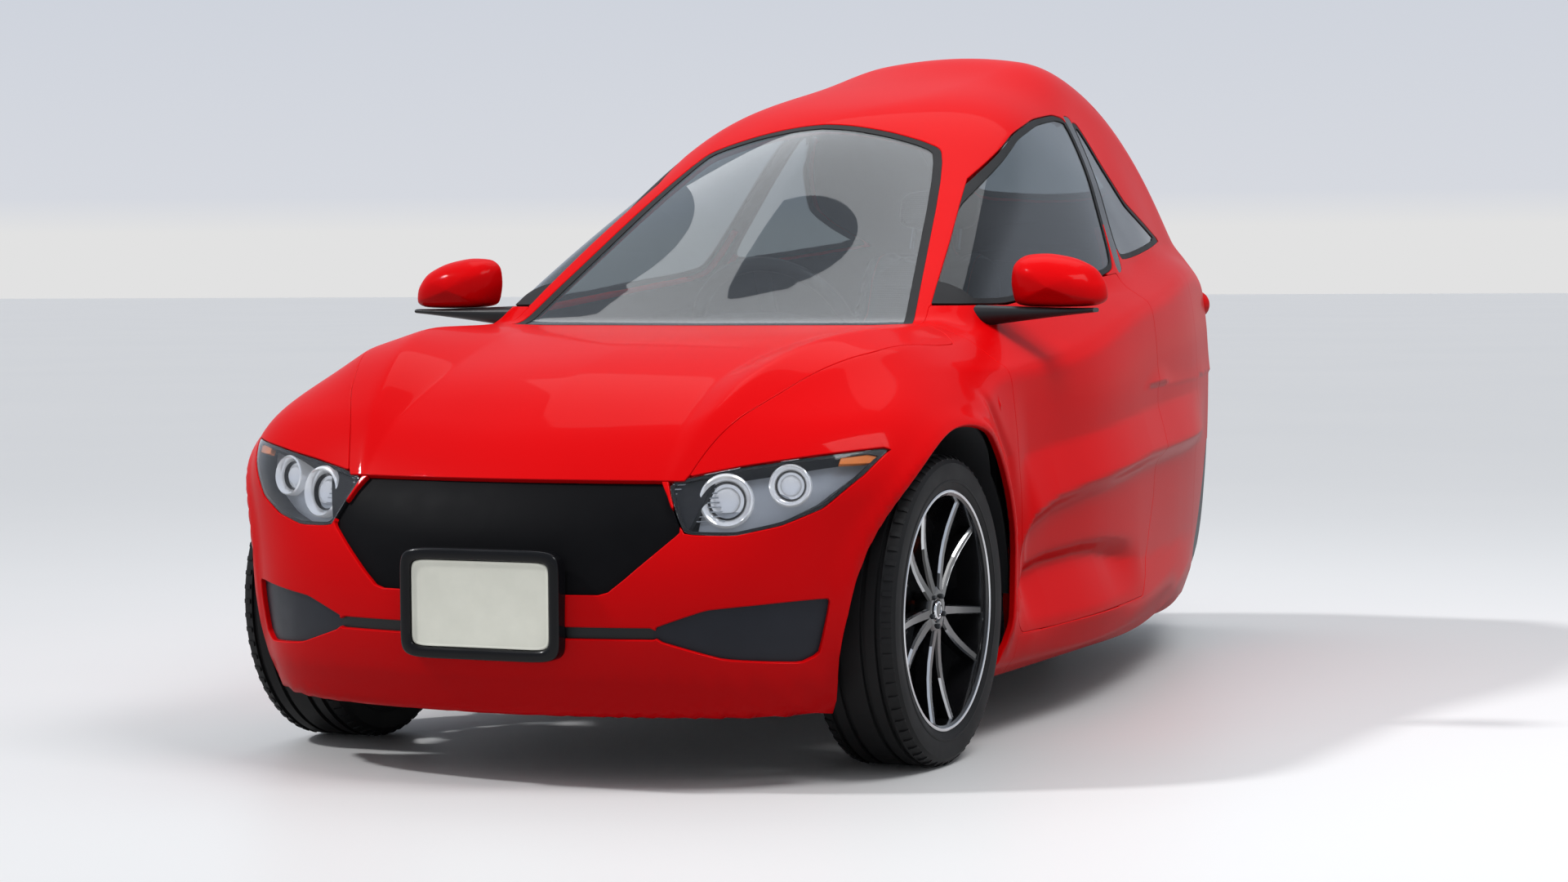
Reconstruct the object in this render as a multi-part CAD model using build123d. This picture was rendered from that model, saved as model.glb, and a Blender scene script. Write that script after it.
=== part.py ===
"""Enclosed single-seat electric car on three wheels: two steered in front, one driven behind.

Frame, in millimetres: the car faces -Y, +X is its left side, +Z is up, and the origin is on the
ground under the middle of the car. The body is one hollow form, made from plan outlines, a top
form and a greenhouse, and cut into its panels along their real shut lines.
"""
from build123d import *
from functools import lru_cache
from math import cos, radians, sin
import os

os.makedirs("parts", exist_ok=True)

# ---- driving dimensions ------------------------------------------------------------------
WHEELBASE = 2040.0
FRONT_AXLE_Y = -970.0
REAR_AXLE_Y = FRONT_AXLE_Y + WHEELBASE
FRONT_TRACK = 1150.0
TYRE_R = 280.0
TYRE_W = 165.0
TYRE_SHOULDER = 22.0
RIM_R = 216.0                  # bead seat, where the tyre sits
RIM_WALL = 9.0
RIM_W = 150.0
HUB_R = 38.0
HUB_OUT = 60.0                 # outer end of the hub, from the middle of the wheel
HUB_CAP = 16.0                 # solid end of a front hub
SPOKES = 5
SPOKE_W = 15.0
SPOKE_SPLIT = 13.0             # half angle between the two arms of a spoke, in degrees
SPOKE_T = 22.0
SPOKE_OUT = 66.0               # outer face of the spokes, from the middle of the wheel
SPINDLE_R = 17.0
RUNNING_FIT = 0.05             # radial clearance of every shaft in its bore
DISC_R = 128.0
DISC_T = 12.0
DISC_X = -34.0                 # inner face of the disc, from the middle of the wheel

WALL = 40.0                    # doors, roof and pillars, outside to trim
SKIN = 26.0                    # hood, fenders, bumper and hatch
SEAT = 0.3                     # a moving panel above the seal that carries it
DOOR_GAP = 9.0
LID_GAP = 5.0
ARCH_R = 335.0                 # liner over the tyre
ARCH_LIP_R = 318.0             # edge of the opening in the fender and bumper
ARCH_LIP_RISE = 16.0           # its middle stands this far above the axle
ARCH_INNER_X = 340.0
LINER_T = 5.0
LINER_FOOT_Z = 428.0

GLASS_T = 6.0
GLASS_INSET = 2.0
LAMP_INSET = 1.5
LAMP_DEPTH = 46.0
GRILLE_INSET = 11.0
INTAKE_INSET = 24.0
INFILL_T = 14.0

PLATE_W = 270.0
PLATE_H = 150.0
PLATE_T = 3.0
PLATE_Z = 320.0
FRAME_FRONT_Y = -1525.0
FRAME_BORDER = 22.0
FRAME_T = 26.0
FRAME_LIP = 7.0

STEER_AXIS_X = 492.0           # upright steering axis of each front wheel
PIN_REACH = 34.0
ARM_T = 26.0
ARM_W = 54.0
PIN_R = 9.0
LOWER_ARM_Z = 158.0
UPPER_ARM_Z = 408.0

FLOOR_Z = 140.0
FLOOR_T = 30.0
FRAME_BOX_X = 292.0
FRAME_BOX_WALL = 18.0
FRAME_BOX_TOP = 480.0
FRAME_BOX_FRONT_Y = -1210.0
CABIN_FRONT_Y = -600.0

COWL_Y = -606.0                # where the fenders and the hood meet the cab
DOOR_BACK_Y = 455.0
DOOR_INNER_X = 440.0
WINDOW_INNER = [(-640, 462), (-300, 398), (20, 330), (300, 300), (1300, 300)]   # (y, x)
SILL_TOP_Z = 196.0
POST_T = 16.0
POST_W = 46.0
POST_TOP_Z = 750.0
PILLAR_SPLIT_Y = -110.0          # the roof piece ends here in front, and here behind
TAIL_SPLIT_Y = 700.0
BACK_POST_TOP_Z = 828.0
TAIL_BAR_Y = 1440.0
HOOD_REST_X = 420.0
GLASS_GAP = 6.0

HOOD_EDGE_Z = 531.0
HATCH_HALF_W = 262.0
HATCH_TOP_Y = 985.0
HATCH_EDGE_Z = 905.0

# ---- body form: plan outlines -------------------------------------------------------------
CHEEK_Y = -1240.0
FLARE_Y = -990.0
HEEL_Y = -720.0
DOOR_Y = -150.0
WAIST_Y = 440.0
QUARTER_Y = 950.0
NOSE_SET = 38.0                # how far the nose sweeps back at the end of its middle arc
NOSE_X = 290.0
TAIL_TURN = 88.0
#        z    nose_y  bow_x  bow_y  cheek_x flare_x heel_x door_x waist_x quarter_x tail_x tail_y
PLAN = [
    (122, -1478, 470, -1368, 580, 640, 640, 655, 596, 497, 368, 1497),
    (215, -1503, 484, -1380, 604, 682, 660, 663, 603, 512, 386, 1513),
    (335, -1508, 492, -1382, 622, 700, 668, 663, 603, 520, 400, 1515),
    (450, -1482, 490, -1368, 632, 706, 670, 662, 603, 524, 408, 1515),
    (560, -1430, 484, -1345, 636, 704, 664, 660, 602, 526, 412, 1513),
    (650, -1400, 470, -1320, 628, 690, 652, 656, 600, 524, 414, 1509),
    (740, -1380, 450, -1300, 600, 640, 630, 640, 592, 518, 412, 1503),
    (960, -1360, 420, -1280, 560, 590, 580, 590, 540, 470, 380, 1487),
]

# ---- body form: hood, fender tops and belt ------------------------------------------------
EDGE_X = 860.0
#        y   centre_z crease_x,z   crest_x,z    shut_x,z    fender_x,z  edge_z
TOP = [
    (-1540, 482, 280, 478, 296, 482, 314, 480, 540, 452, 300),
    (-1420, 560, 286, 554, 300, 560, 318, 558, 545, 532, 420),
    (-1325, 619, 290, 612, 330, 622, 368, 616, 556, 578, 470),
    (-1215, 678, 284, 671, 362, 690, 432, 676, 580, 632, 500),
    (-1000, 742, 300, 733, 424, 770, 524, 744, 606, 692, 520),
    (-780, 783, 330, 783, 486, 808, 556, 758, 624, 704, 560),
    (-600, 800, 350, 803, 508, 806, 552, 768, 630, 703, 600),
    (-300, 818, 380, 818, 500, 815, 532, 800, 642, 716, 600),
    (250, 862, 380, 862, 480, 862, 508, 850, 604, 788, 640),
    (700, 898, 360, 898, 440, 896, 468, 884, 552, 828, 640),
    (1174, 938, 290, 938, 352, 938, 380, 926, 456, 868, 560),
    (1450, 950, 250, 950, 312, 948, 338, 915, 384, 862, 420),
    (1560, 950, 250, 950, 300, 948, 322, 910, 372, 850, 400),
]

# ---- body form: greenhouse ---------------------------------------------------------------
GREEN_BASE_Z = 690.0
#         y   base_x side_x,z     edge_x,z    crown_z
GREEN = [
    (-720, 540, 505, 742, 450, 750, 752),
    (-560, 560, 500, 829, 430, 812, 806),
    (-300, 575, 460, 958, 366, 972, 990),
    (0, 578, 408, 1112, 292, 1152, 1190),
    (200, 580, 376, 1196, 288, 1238, 1252),
    (500, 570, 350, 1240, 286, 1292, 1314),
    (620, 548, 344, 1242, 278, 1314, 1342),
    (760, 526, 340, 1226, 262, 1338, 1372),
    (940, 498, 346, 1172, 258, 1318, 1366),
    (1170, 460, 350, 1075, 278, 1226, 1284),
    (1330, 424, 350, 1000, 298, 1100, 1158),
    (1470, 392, 336, 944, 300, 964, 985),
]

CAVITY_DROP = 400.0            # the cabin's hollow reaches this far below the greenhouse's base

# ---- openings, as outlines (y, z) seen from the side and (x, z) seen from the front --------
BELT_LINE = [(-585, 822), (-300, 818), (100, 852), (455, 879)]
DOOR_WINDOW = BELT_LINE + [(546, 1065), (600, 1222), (521, 1230), (357, 1214), (184, 1178),
                           (-174, 1035), (-428, 888)]
QUARTER_WINDOW = [(522, 894), (594, 1065), (640, 1218), (688, 1215), (749, 1122), (840, 1040),
                  (952, 1004), (1094, 966), (1180, 950)]
WINDSHIELD = [(-415, -560), (-280, 20), (280, 20), (415, -560)]
REAR_WINDOW = [(-196, 1060), (-222, 1380), (222, 1380), (196, 1060)]
GRILLE = [(-296, 530), (296, 530), (344, 446), (226, 338), (-226, 338), (-344, 446)]
LAMP = [(301, 531), (420, 556), (537, 574), (640, 586), (612, 540), (560, 484), (500, 456),
        (430, 440), (348, 442)]
INTAKE = [(306, 287), (392, 318), (574, 335), (550, 217), (418, 227), (306, 262)]
SLOT = [(-306, 262), (306, 262), (306, 287), (-306, 287)]
HOOD = [(0, -1600), (300, -1600), (318, -1420), (368, -1325), (432, -1215), (524, -1000),
        (556, -780), (558, -690), (520, -640), (430, COWL_Y), (0, COWL_Y)]
FENDER_FRONT_Y = -1212.0
LAMP_BACK_Y = -1150.0
CLADDING = [(960, 100), (1060, 196), (1215, 262), (1330, 360), (1400, 470), (1600, 470), (1600, 100)]
TAIL_LAMP_Z = 796.0
TAIL_LAMP_R = 31.0
TAIL_LAMP_X = 372.0
TAIL_LAMP_Y = (1452.0, 1502.0)
REAR_ARCH_X = 140.0
REAR_ARCH_Y = 1180.0
REAR_ARCH_Z = 372.0

WELL_X = 132.0                 # inside of the rear wheel's housing
WELL_WALL = 8.0
WELL_FRONT_Y = 706.0
WELL_BACK_Y = 1430.0
WELL_TOP_Z = 604.0
SWING_X = 96.0                 # inner face of each swing arm
SWING_T = 16.0
SWING_TUBE_Y = 752.0
SWING_TUBE_R = 17.0
MOTOR_Y = (470.0, 660.0)
MOTOR_R = 105.0
MOTOR_L = 300.0

MIRROR = (660.0, -380.0, 866.0)
MIRROR_W = 200.0
MIRROR_H = 112.0
MIRROR_D = 80.0
MIRROR_TURN = 8.0
MIRROR_STALK_R = 14.0

# ---- seat, dashboard and steering wheel ----------------------------------------------------
SEAT_W = 460.0
CUSHION_Y = (-60.0, 400.0)
CUSHION_Z = (330.0, 470.0)
BACK_T = 120.0
BACK_H = 590.0
BACK_RISE = 95.0               # foot of the back above the cushion's underside
BACK_LEAN = 20.0
WHEEL_RIM_R = 172.0
WHEEL_RIM_T = 15.0
COLUMN_TILT = 26.0
COLUMN_Y = -250.0              # middle of the steering wheel
COLUMN_Z = 745.0
COLUMN_R = 20.0
COLUMN_GAP = 24.0
COLUMN_SHAFT_R = 9.0
DASH_BACK_Y = -330.0


def save(node, shape):
    """Write one node's STEP file, in order of its name."""
    export_step(shape, f"parts/{node}.step")


def mirrored(shape):
    """Return the same shape on the car's other side."""
    return mirror(shape, about=Plane.YZ)


def plan_face(row, inset):
    """Face inside one plan outline, moved in by the given thickness."""
    z, nose_y, bow_x, bow_y, cheek_x, flare_x, heel_x, door_x, waist_x, quarter_x, tail_x, tail_y = row
    nose = nose_y + inset
    end = tail_y - inset
    slant = inset * sin(radians(45))
    half = [
        (NOSE_X, nose + NOSE_SET), (bow_x - slant, bow_y + slant), (cheek_x - inset, CHEEK_Y),
        (flare_x - inset, FLARE_Y), (heel_x - inset, HEEL_Y), (door_x - inset, DOOR_Y),
        (waist_x - inset, WAIST_Y), (quarter_x - inset, QUARTER_Y),
        (tail_x - inset, end - TAIL_TURN), (tail_x - inset - 26, end - 24),
        (tail_x - inset - TAIL_TURN, end),
    ]
    right = [Vector(x, y, z) for x, y in half]
    left = [Vector(-x, y, z) for x, y in half]
    edges = [ThreePointArc(left[0], Vector(0, nose, z), right[0])]
    edges += [ThreePointArc(*right[i:i + 3]) for i in range(0, len(half) - 1, 2)]
    edges += [ThreePointArc(right[-1], Vector(0, end + 10, z), left[-1])]
    edges += [ThreePointArc(left[i], left[i - 1], left[i - 2]) for i in range(len(half) - 1, 0, -2)]
    return Face(Wire(edges))


def top_face(row, inset):
    """Upright section of the hood and belt form at one station along the car."""
    y, centre_z, crease_x, crease_z, crest_x, crest_z, shut_x, shut_z, fender_x, fender_z, edge_z = row
    half = [(crease_x, crease_z), (crest_x, crest_z), (shut_x, shut_z), (fender_x, fender_z),
            (EDGE_X, edge_z)]
    right = [Vector(x, y, z - inset) for x, z in half] + [Vector(EDGE_X, y, 60)]
    left = [Vector(-point.X, y, point.Z) for point in reversed(right)]
    outline = [Vector(0, y, centre_z - inset)] + right + left
    return Face(Wire(Polyline(outline, close=True).edges()))


@lru_cache(maxsize=None)
def lower_form(inset=0.0):
    """Solid inside the lower body's outer surface, moved in by the given thickness."""
    below = [(PLAN[0][0] - 60,) + PLAN[0][1:]] if inset else []
    plan = loft([plan_face(row, inset) for row in below + PLAN], ruled=True)
    top = loft([top_face(row, inset) for row in TOP], ruled=True)
    return plan & top


def green_face(row, inset):
    """Upright section of the greenhouse at one station along the car."""
    y, base_x, side_x, side_z, edge_x, edge_z, crown_z = row
    foot = Vector(base_x - inset, y, GREEN_BASE_Z - (CAVITY_DROP if inset >= SKIN else 0))
    side = Vector(side_x - inset, y, side_z - 0.3 * inset)
    edge = Vector(edge_x - 0.7 * inset, y, edge_z - 0.8 * inset)
    middle = (side + edge) / 2 + Vector(0.16 * (side.X - edge.X), 0, 0.16 * (side.X - edge.X))
    crown = Vector(0, y, crown_z - inset)

    def other(point):
        return Vector(-point.X, point.Y, point.Z)

    edges = [
        Line(other(foot), foot), Line(foot, side), ThreePointArc(side, middle, edge),
        ThreePointArc(edge, crown, other(edge)), ThreePointArc(other(edge), other(middle), other(side)),
        Line(other(side), other(foot)),
    ]
    return Face(Wire(edges))


@lru_cache(maxsize=None)
def green_form(inset=0.0):
    """Solid inside the greenhouse's outer surface, moved in by the given thickness."""
    return loft([green_face(row, inset) for row in GREEN], ruled=True)


def side_prism(points, low_x, high_x):
    """Prism of a side outline (y, z) from one X to another."""
    wire = Wire(Polyline([Vector(low_x, y, z) for y, z in points], close=True).edges())
    return extrude(Face(wire), amount=high_x - low_x, dir=(1, 0, 0))


def front_prism(points, low_y, high_y):
    """Prism of a front outline (x, z) from one Y to another."""
    wire = Wire(Polyline([Vector(x, low_y, z) for x, z in points], close=True).edges())
    return extrude(Face(wire), amount=high_y - low_y, dir=(0, 1, 0))


def plan_prism(points, low_z, high_z):
    """Prism of a plan outline (x, y) from one Z to another."""
    wire = Wire(Polyline([Vector(x, y, low_z) for x, y in points], close=True).edges())
    return extrude(Face(wire), amount=high_z - low_z, dir=(0, 0, 1))


def block(low, high):
    """Upright box between two corners."""
    size = [b - a for a, b in zip(low, high)]
    return Pos(*[(a + b) / 2 for a, b in zip(low, high)]) * Box(*size)


def rod(start, end, radius):
    """Round bar from one point to another."""
    start, end = Vector(*start), Vector(*end)
    plane = Plane(origin=start, z_dir=end - start)
    return extrude(plane * Circle(radius), amount=(end - start).length)


def grown(points, gap):
    """Outline moved outwards by a gap, or inwards by a negative one."""
    face = Face(Wire(Polyline([Vector(a, b, 0) for a, b in points], close=True).edges()))
    edges = offset(face, amount=gap, kind=Kind.INTERSECTION).faces()[0].outer_wire().order_edges()
    return [((edge @ 0).X, (edge @ 0).Y) for edge in edges]


@lru_cache(maxsize=None)
def body_form(inset=0.0):
    """Whole outer form of the car, moved in by the given thickness."""
    return lower_form(inset) + green_form(inset)


# ---- forms that the panels are cut from ----------------------------------------------------
FAR = 1700.0                   # past the end of everything
BODY = body_form()
THICK_SHELL = BODY - body_form(WALL)
THIN_SHELL = BODY - body_form(SKIN)


def both_sides(shape):
    """Join a shape with its mirror image on the other side."""
    return shape + mirrored(shape)


def between(low_y, high_y, low_z=0.0, high_z=FAR):
    """Slice of space between two stations along the car, over its whole width."""
    return block((-EDGE_X, low_y, low_z), (EDGE_X, high_y, high_z))


def wheel_arch(radius, rise=0.0):
    """Round opening over both front wheels."""
    ends = [(x, FRONT_AXLE_Y, TYRE_R + rise) for x in (ARCH_INNER_X, EDGE_X)]
    return both_sides(rod(*ends, radius))


def belt_z(y):
    """Height of the foot of the door's glass at one station, level in front of its first point."""
    if y <= BELT_LINE[0][0]:
        return BELT_LINE[0][1]
    ahead = [point for point in BELT_LINE if point[0] < y][-1]
    behind = [point for point in BELT_LINE if point[0] >= y][0]
    return ahead[1] + (behind[1] - ahead[1]) * (y - ahead[0]) / (behind[0] - ahead[0])


def door_outline(gap):
    """Side outline of a door below its glass, moved in by a gap at its front, foot and back."""
    foot = SILL_TOP_Z + min(gap, LID_GAP)
    front, back = COWL_Y + gap, DOOR_BACK_Y - gap
    belt = [(back, belt_z(back))] + BELT_LINE[-2::-1] + [(front, belt_z(front))]
    return [(front, foot), (back, foot)] + belt


def window_prism(points):
    """Prism of a side window's outline, from the pillar's outer edge outwards."""
    outer = [(EDGE_X, WINDOW_INNER[-1][0]), (EDGE_X, WINDOW_INNER[0][0])]
    plan = [(x, y) for y, x in WINDOW_INNER] + outer
    return side_prism(points, 0, EDGE_X) & plan_prism(plan, 0, FAR)


DOOR_WINDOW_HOLE = window_prism(DOOR_WINDOW)
QUARTER_HOLE = window_prism(QUARTER_WINDOW)
HATCH_HOLE = block((-HATCH_HALF_W, HATCH_TOP_Y, HATCH_EDGE_Z), (HATCH_HALF_W, FAR, FAR))
HATCH_CUT = block((-HATCH_HALF_W + LID_GAP, HATCH_TOP_Y + LID_GAP, HATCH_EDGE_Z + LID_GAP),
                  (HATCH_HALF_W - LID_GAP, FAR, FAR))
HOOD_OUTLINE = HOOD + [(-x, y) for x, y in HOOD[-2:0:-1]]
HOOD_HOLE = plan_prism(HOOD_OUTLINE, HOOD_EDGE_Z - LID_GAP, FAR)
HOOD_CUT = plan_prism(grown(HOOD_OUTLINE, -LID_GAP), HOOD_EDGE_Z, FAR)
LAMP_HOLE = front_prism(LAMP, -FAR, LAMP_BACK_Y)
GRILLE_HOLE = front_prism(GRILLE, -FAR, -1300)
INTAKE_HOLE = front_prism(INTAKE, -FAR, FENDER_FRONT_Y)
SLOT_HOLE = front_prism(SLOT, -FAR, -1300)
WINDSHIELD_HOLE = plan_prism(WINDSHIELD, 700, FAR)
REAR_WINDOW_HOLE = front_prism(REAR_WINDOW, HATCH_TOP_Y + 60, FAR)
TAIL_LAMP_HOLE = rod((TAIL_LAMP_X, 1380, TAIL_LAMP_Z), (TAIL_LAMP_X, FAR, TAIL_LAMP_Z), TAIL_LAMP_R)
REAR_ARCH = block((-REAR_ARCH_X, REAR_ARCH_Y, 0), (REAR_ARCH_X, FAR, REAR_ARCH_Z))
CLADDING_ZONE = side_prism(CLADDING, -EDGE_X, EDGE_X)


# ---- body panels ---------------------------------------------------------------------------
def cab_shell():
    """Roof, pillars, cowl and rear quarters in one hollow piece, with its door posts."""
    cab = THICK_SHELL & between(COWL_Y, FAR)
    cab -= between(COWL_Y - 1, DOOR_BACK_Y, 0, SILL_TOP_Z)
    cab -= CLADDING_ZONE
    cab -= both_sides(side_prism(door_outline(0), DOOR_INNER_X, EDGE_X) + DOOR_WINDOW_HOLE)
    cab -= both_sides(QUARTER_HOLE)
    cab -= both_sides(TAIL_LAMP_HOLE)
    cab -= HATCH_HOLE
    cab -= WINDSHIELD_HOLE
    front_post = block((DOOR_INNER_X - 4, COWL_Y + 1, SILL_TOP_Z), (EDGE_X, COWL_Y + POST_W, POST_TOP_Z))
    back_post = block((DOOR_INNER_X, DOOR_BACK_Y - POST_W, SILL_TOP_Z), (EDGE_X, DOOR_BACK_Y + 4, BACK_POST_TOP_Z))
    posts = (front_post + back_post) & (lower_form(WALL + SEAT) - lower_form(WALL + POST_T))
    cowl_foot = block((DOOR_INNER_X - 60, COWL_Y + 1, SILL_TOP_Z), (DOOR_INNER_X, COWL_Y + POST_W, FAR))
    quarter_foot = block((DOOR_INNER_X, DOOR_BACK_Y, SILL_TOP_Z), (EDGE_X, DOOR_BACK_Y + POST_W, BACK_POST_TOP_Z))
    feet = (cowl_foot + quarter_foot) & (lower_form(WALL) - lower_form(WALL + POST_T))
    cab += both_sides(posts + feet)
    low, high = HATCH_EDGE_Z - POST_W, HATCH_EDGE_Z + POST_T
    bar = block((-HATCH_HALF_W - POST_W, TAIL_BAR_Y, low), (HATCH_HALF_W + POST_W, FAR, HATCH_EDGE_Z - 4))
    stop = block((-HATCH_HALF_W + POST_T, TAIL_BAR_Y, HATCH_EDGE_Z - 5), (HATCH_HALF_W - POST_T, FAR, high))
    cab += (bar & body_form(WALL)) + (stop & body_form(WALL + SEAT))
    rest = block((-HOOD_REST_X, COWL_Y - POST_T * 2, 600), (HOOD_REST_X, COWL_Y + 4, FAR))
    cab += rest & (lower_form(SKIN + SEAT) - lower_form(WALL))
    return cab


def hood():
    """Front lid between the fenders, with its two raised crests."""
    return THIN_SHELL & HOOD_CUT


def hatch_panel():
    """Rear lid with the rear window's opening."""
    return (THICK_SHELL & HATCH_CUT) - REAR_WINDOW_HOLE


def glass(opening):
    """Pane that fills an opening, just under the outer surface."""
    return (green_form(GLASS_INSET) - green_form(GLASS_INSET + GLASS_T)) & opening


def front_fender():
    """Left fender over the wheel, from the lamp back to the door."""
    piece = THIN_SHELL & block((150, FENDER_FRONT_Y, 0), (EDGE_X, COWL_Y, FAR))
    return piece - HOOD_HOLE - wheel_arch(ARCH_LIP_R, ARCH_LIP_RISE) - LAMP_HOLE


def front_bumper():
    """Whole nose below the hood, with its lamp, grille and intake openings."""
    piece = THIN_SHELL & between(-FAR, FENDER_FRONT_Y)
    piece -= HOOD_HOLE
    piece -= GRILLE_HOLE
    piece -= SLOT_HOLE
    piece -= both_sides(LAMP_HOLE)
    piece -= both_sides(INTAKE_HOLE)
    return piece - wheel_arch(ARCH_LIP_R, ARCH_LIP_RISE)


def sill():
    """Left sill under the door."""
    return THICK_SHELL & block((200, COWL_Y, 0), (EDGE_X, DOOR_BACK_Y, SILL_TOP_Z))


def rear_cladding():
    """Dark lower tail round the rear wheel's opening."""
    return (THICK_SHELL & CLADDING_ZONE) - REAR_ARCH


def headlamp():
    """Left headlamp, a closed unit behind its clear cover."""
    lamp = (body_form(LAMP_INSET) - body_form(LAMP_INSET + LAMP_DEPTH)) & LAMP_HOLE
    return lamp - HOOD_HOLE - wheel_arch(ARCH_R + LINER_T + SEAT)


def tail_lamp():
    """Left round tail lamp."""
    return TAIL_LAMP_HOLE & between(*TAIL_LAMP_Y)


def door_panel():
    """Left door up to the foot of its glass, as thick as the real door."""
    return THICK_SHELL & side_prism(door_outline(DOOR_GAP), DOOR_INNER_X, EDGE_X)


def door_glass():
    """Left door's frameless pane, clear of the roof and of the pillar behind it."""
    pane = window_prism(grown(DOOR_WINDOW, -GLASS_GAP))
    foot = DOOR_WINDOW_HOLE & between(COWL_Y + 40, DOOR_BACK_Y - DOOR_GAP, 0, BELT_LINE[-1][1] + 12)
    return glass(pane + foot)


def mirror_head():
    """Left door mirror on its stalk."""
    x, y, z = MIRROR
    head = Pos(x, y, z) * Rot(0, 0, MIRROR_TURN) * extrude(
        Plane.XZ * RectangleRounded(MIRROR_W, MIRROR_H, MIRROR_H * 0.36), amount=MIRROR_D, taper=14)
    stalk = rod((x - 60, y - 30, z - MIRROR_H / 2 + 14), (x - 150, y - 60, z - 100), MIRROR_STALK_R)
    return (head + stalk) - BODY


def plate_frame():
    """Rounded tray on the nose that holds the number plate."""
    wide, high = PLATE_W + 2 * FRAME_BORDER, PLATE_H + 2 * FRAME_BORDER
    tray = extrude(Plane(origin=(0, FRAME_FRONT_Y, PLATE_Z), x_dir=(1, 0, 0), z_dir=(0, 1, 0))
                   * RectangleRounded(wide, high, FRAME_BORDER), amount=FRAME_T + 20)
    pocket = block((-PLATE_W / 2, -FAR, PLATE_Z - PLATE_H / 2),
                   (PLATE_W / 2, FRAME_FRONT_Y + FRAME_LIP + PLATE_T, PLATE_Z + PLATE_H / 2))
    return tray - pocket - BODY - (body_form(GRILLE_INSET) & GRILLE_HOLE)


def number_plate():
    """Blank plate."""
    back_y = FRAME_FRONT_Y + FRAME_LIP + PLATE_T
    return block((-PLATE_W / 2, back_y - PLATE_T, PLATE_Z - PLATE_H / 2),
                 (PLATE_W / 2, back_y, PLATE_Z + PLATE_H / 2))


# ---- chassis, suspension and cabin -----------------------------------------------------------
def floor_pan():
    """Floor, front frame box, crash beam and firewall."""
    floor = lower_form(WALL) & between(CABIN_FRONT_Y, WELL_BACK_Y, FLOOR_Z, FLOOR_Z + FLOOR_T)
    floor -= block((-WELL_X - WELL_WALL, WELL_FRONT_Y - WELL_WALL, 0), (WELL_X + WELL_WALL, FAR, 300))
    wall = FRAME_BOX_WALL
    frame = block((-FRAME_BOX_X, FRAME_BOX_FRONT_Y, FLOOR_Z), (FRAME_BOX_X, CABIN_FRONT_Y, FRAME_BOX_TOP))
    frame -= block((-FRAME_BOX_X + wall, -FAR, FLOOR_Z + wall),
                   (FRAME_BOX_X - wall, CABIN_FRONT_Y - wall, FRAME_BOX_TOP - wall))
    beam = body_form(SKIN) & block((-FRAME_BOX_X, -FAR, 292), (FRAME_BOX_X, FRAME_BOX_FRONT_Y + 4, 334))
    firewall = lower_form(WALL + POST_T) & between(CABIN_FRONT_Y - wall, CABIN_FRONT_Y, FLOOR_Z)
    return floor + frame + beam + firewall


def wheel_liner():
    """Left front wheel's housing: a half tube over the tyre and its inner wall."""
    outer = ARCH_R + LINER_T
    tube = Pos(0, FRONT_AXLE_Y, TYRE_R) * Rot(0, 90, 0) * Cylinder(outer, 2 * EDGE_X)
    bore = Pos(0, FRONT_AXLE_Y, TYRE_R) * Rot(0, 90, 0) * Cylinder(ARCH_R, 2 * EDGE_X)
    zone = block((ARCH_INNER_X, -FAR, TYRE_R), (EDGE_X, 0, FAR))
    inside = body_form(SKIN + SEAT)
    wall = tube & block((ARCH_INNER_X - LINER_T, -FAR, LINER_FOOT_Z), (ARCH_INNER_X, 0, FAR))
    return ((tube - bore) & zone & inside) + (wall & inside)


def suspension():
    """Left wheel's two wishbones with the ball joints' pins, and its spring leg."""
    arms = Part()
    for z, turn in ((LOWER_ARM_Z, 1), (UPPER_ARM_Z, -1)):
        outline = [(FRAME_BOX_X, -110), (FRAME_BOX_X, 110), (FRAME_BOX_X + 50, 90),
                   (STEER_AXIS_X - 40, ARM_W / 2), (STEER_AXIS_X + 12, ARM_W / 2),
                   (STEER_AXIS_X + 12, -ARM_W / 2), (STEER_AXIS_X - 40, -ARM_W / 2),
                   (FRAME_BOX_X + 50, -90)]
        arm = plan_prism([(x, y + FRONT_AXLE_Y) for x, y in outline], z - ARM_T / 2, z + ARM_T / 2)
        pin = rod((STEER_AXIS_X, FRONT_AXLE_Y, z), (STEER_AXIS_X, FRONT_AXLE_Y, z + turn * PIN_REACH), PIN_R)
        arms += arm + pin
    return arms


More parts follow.
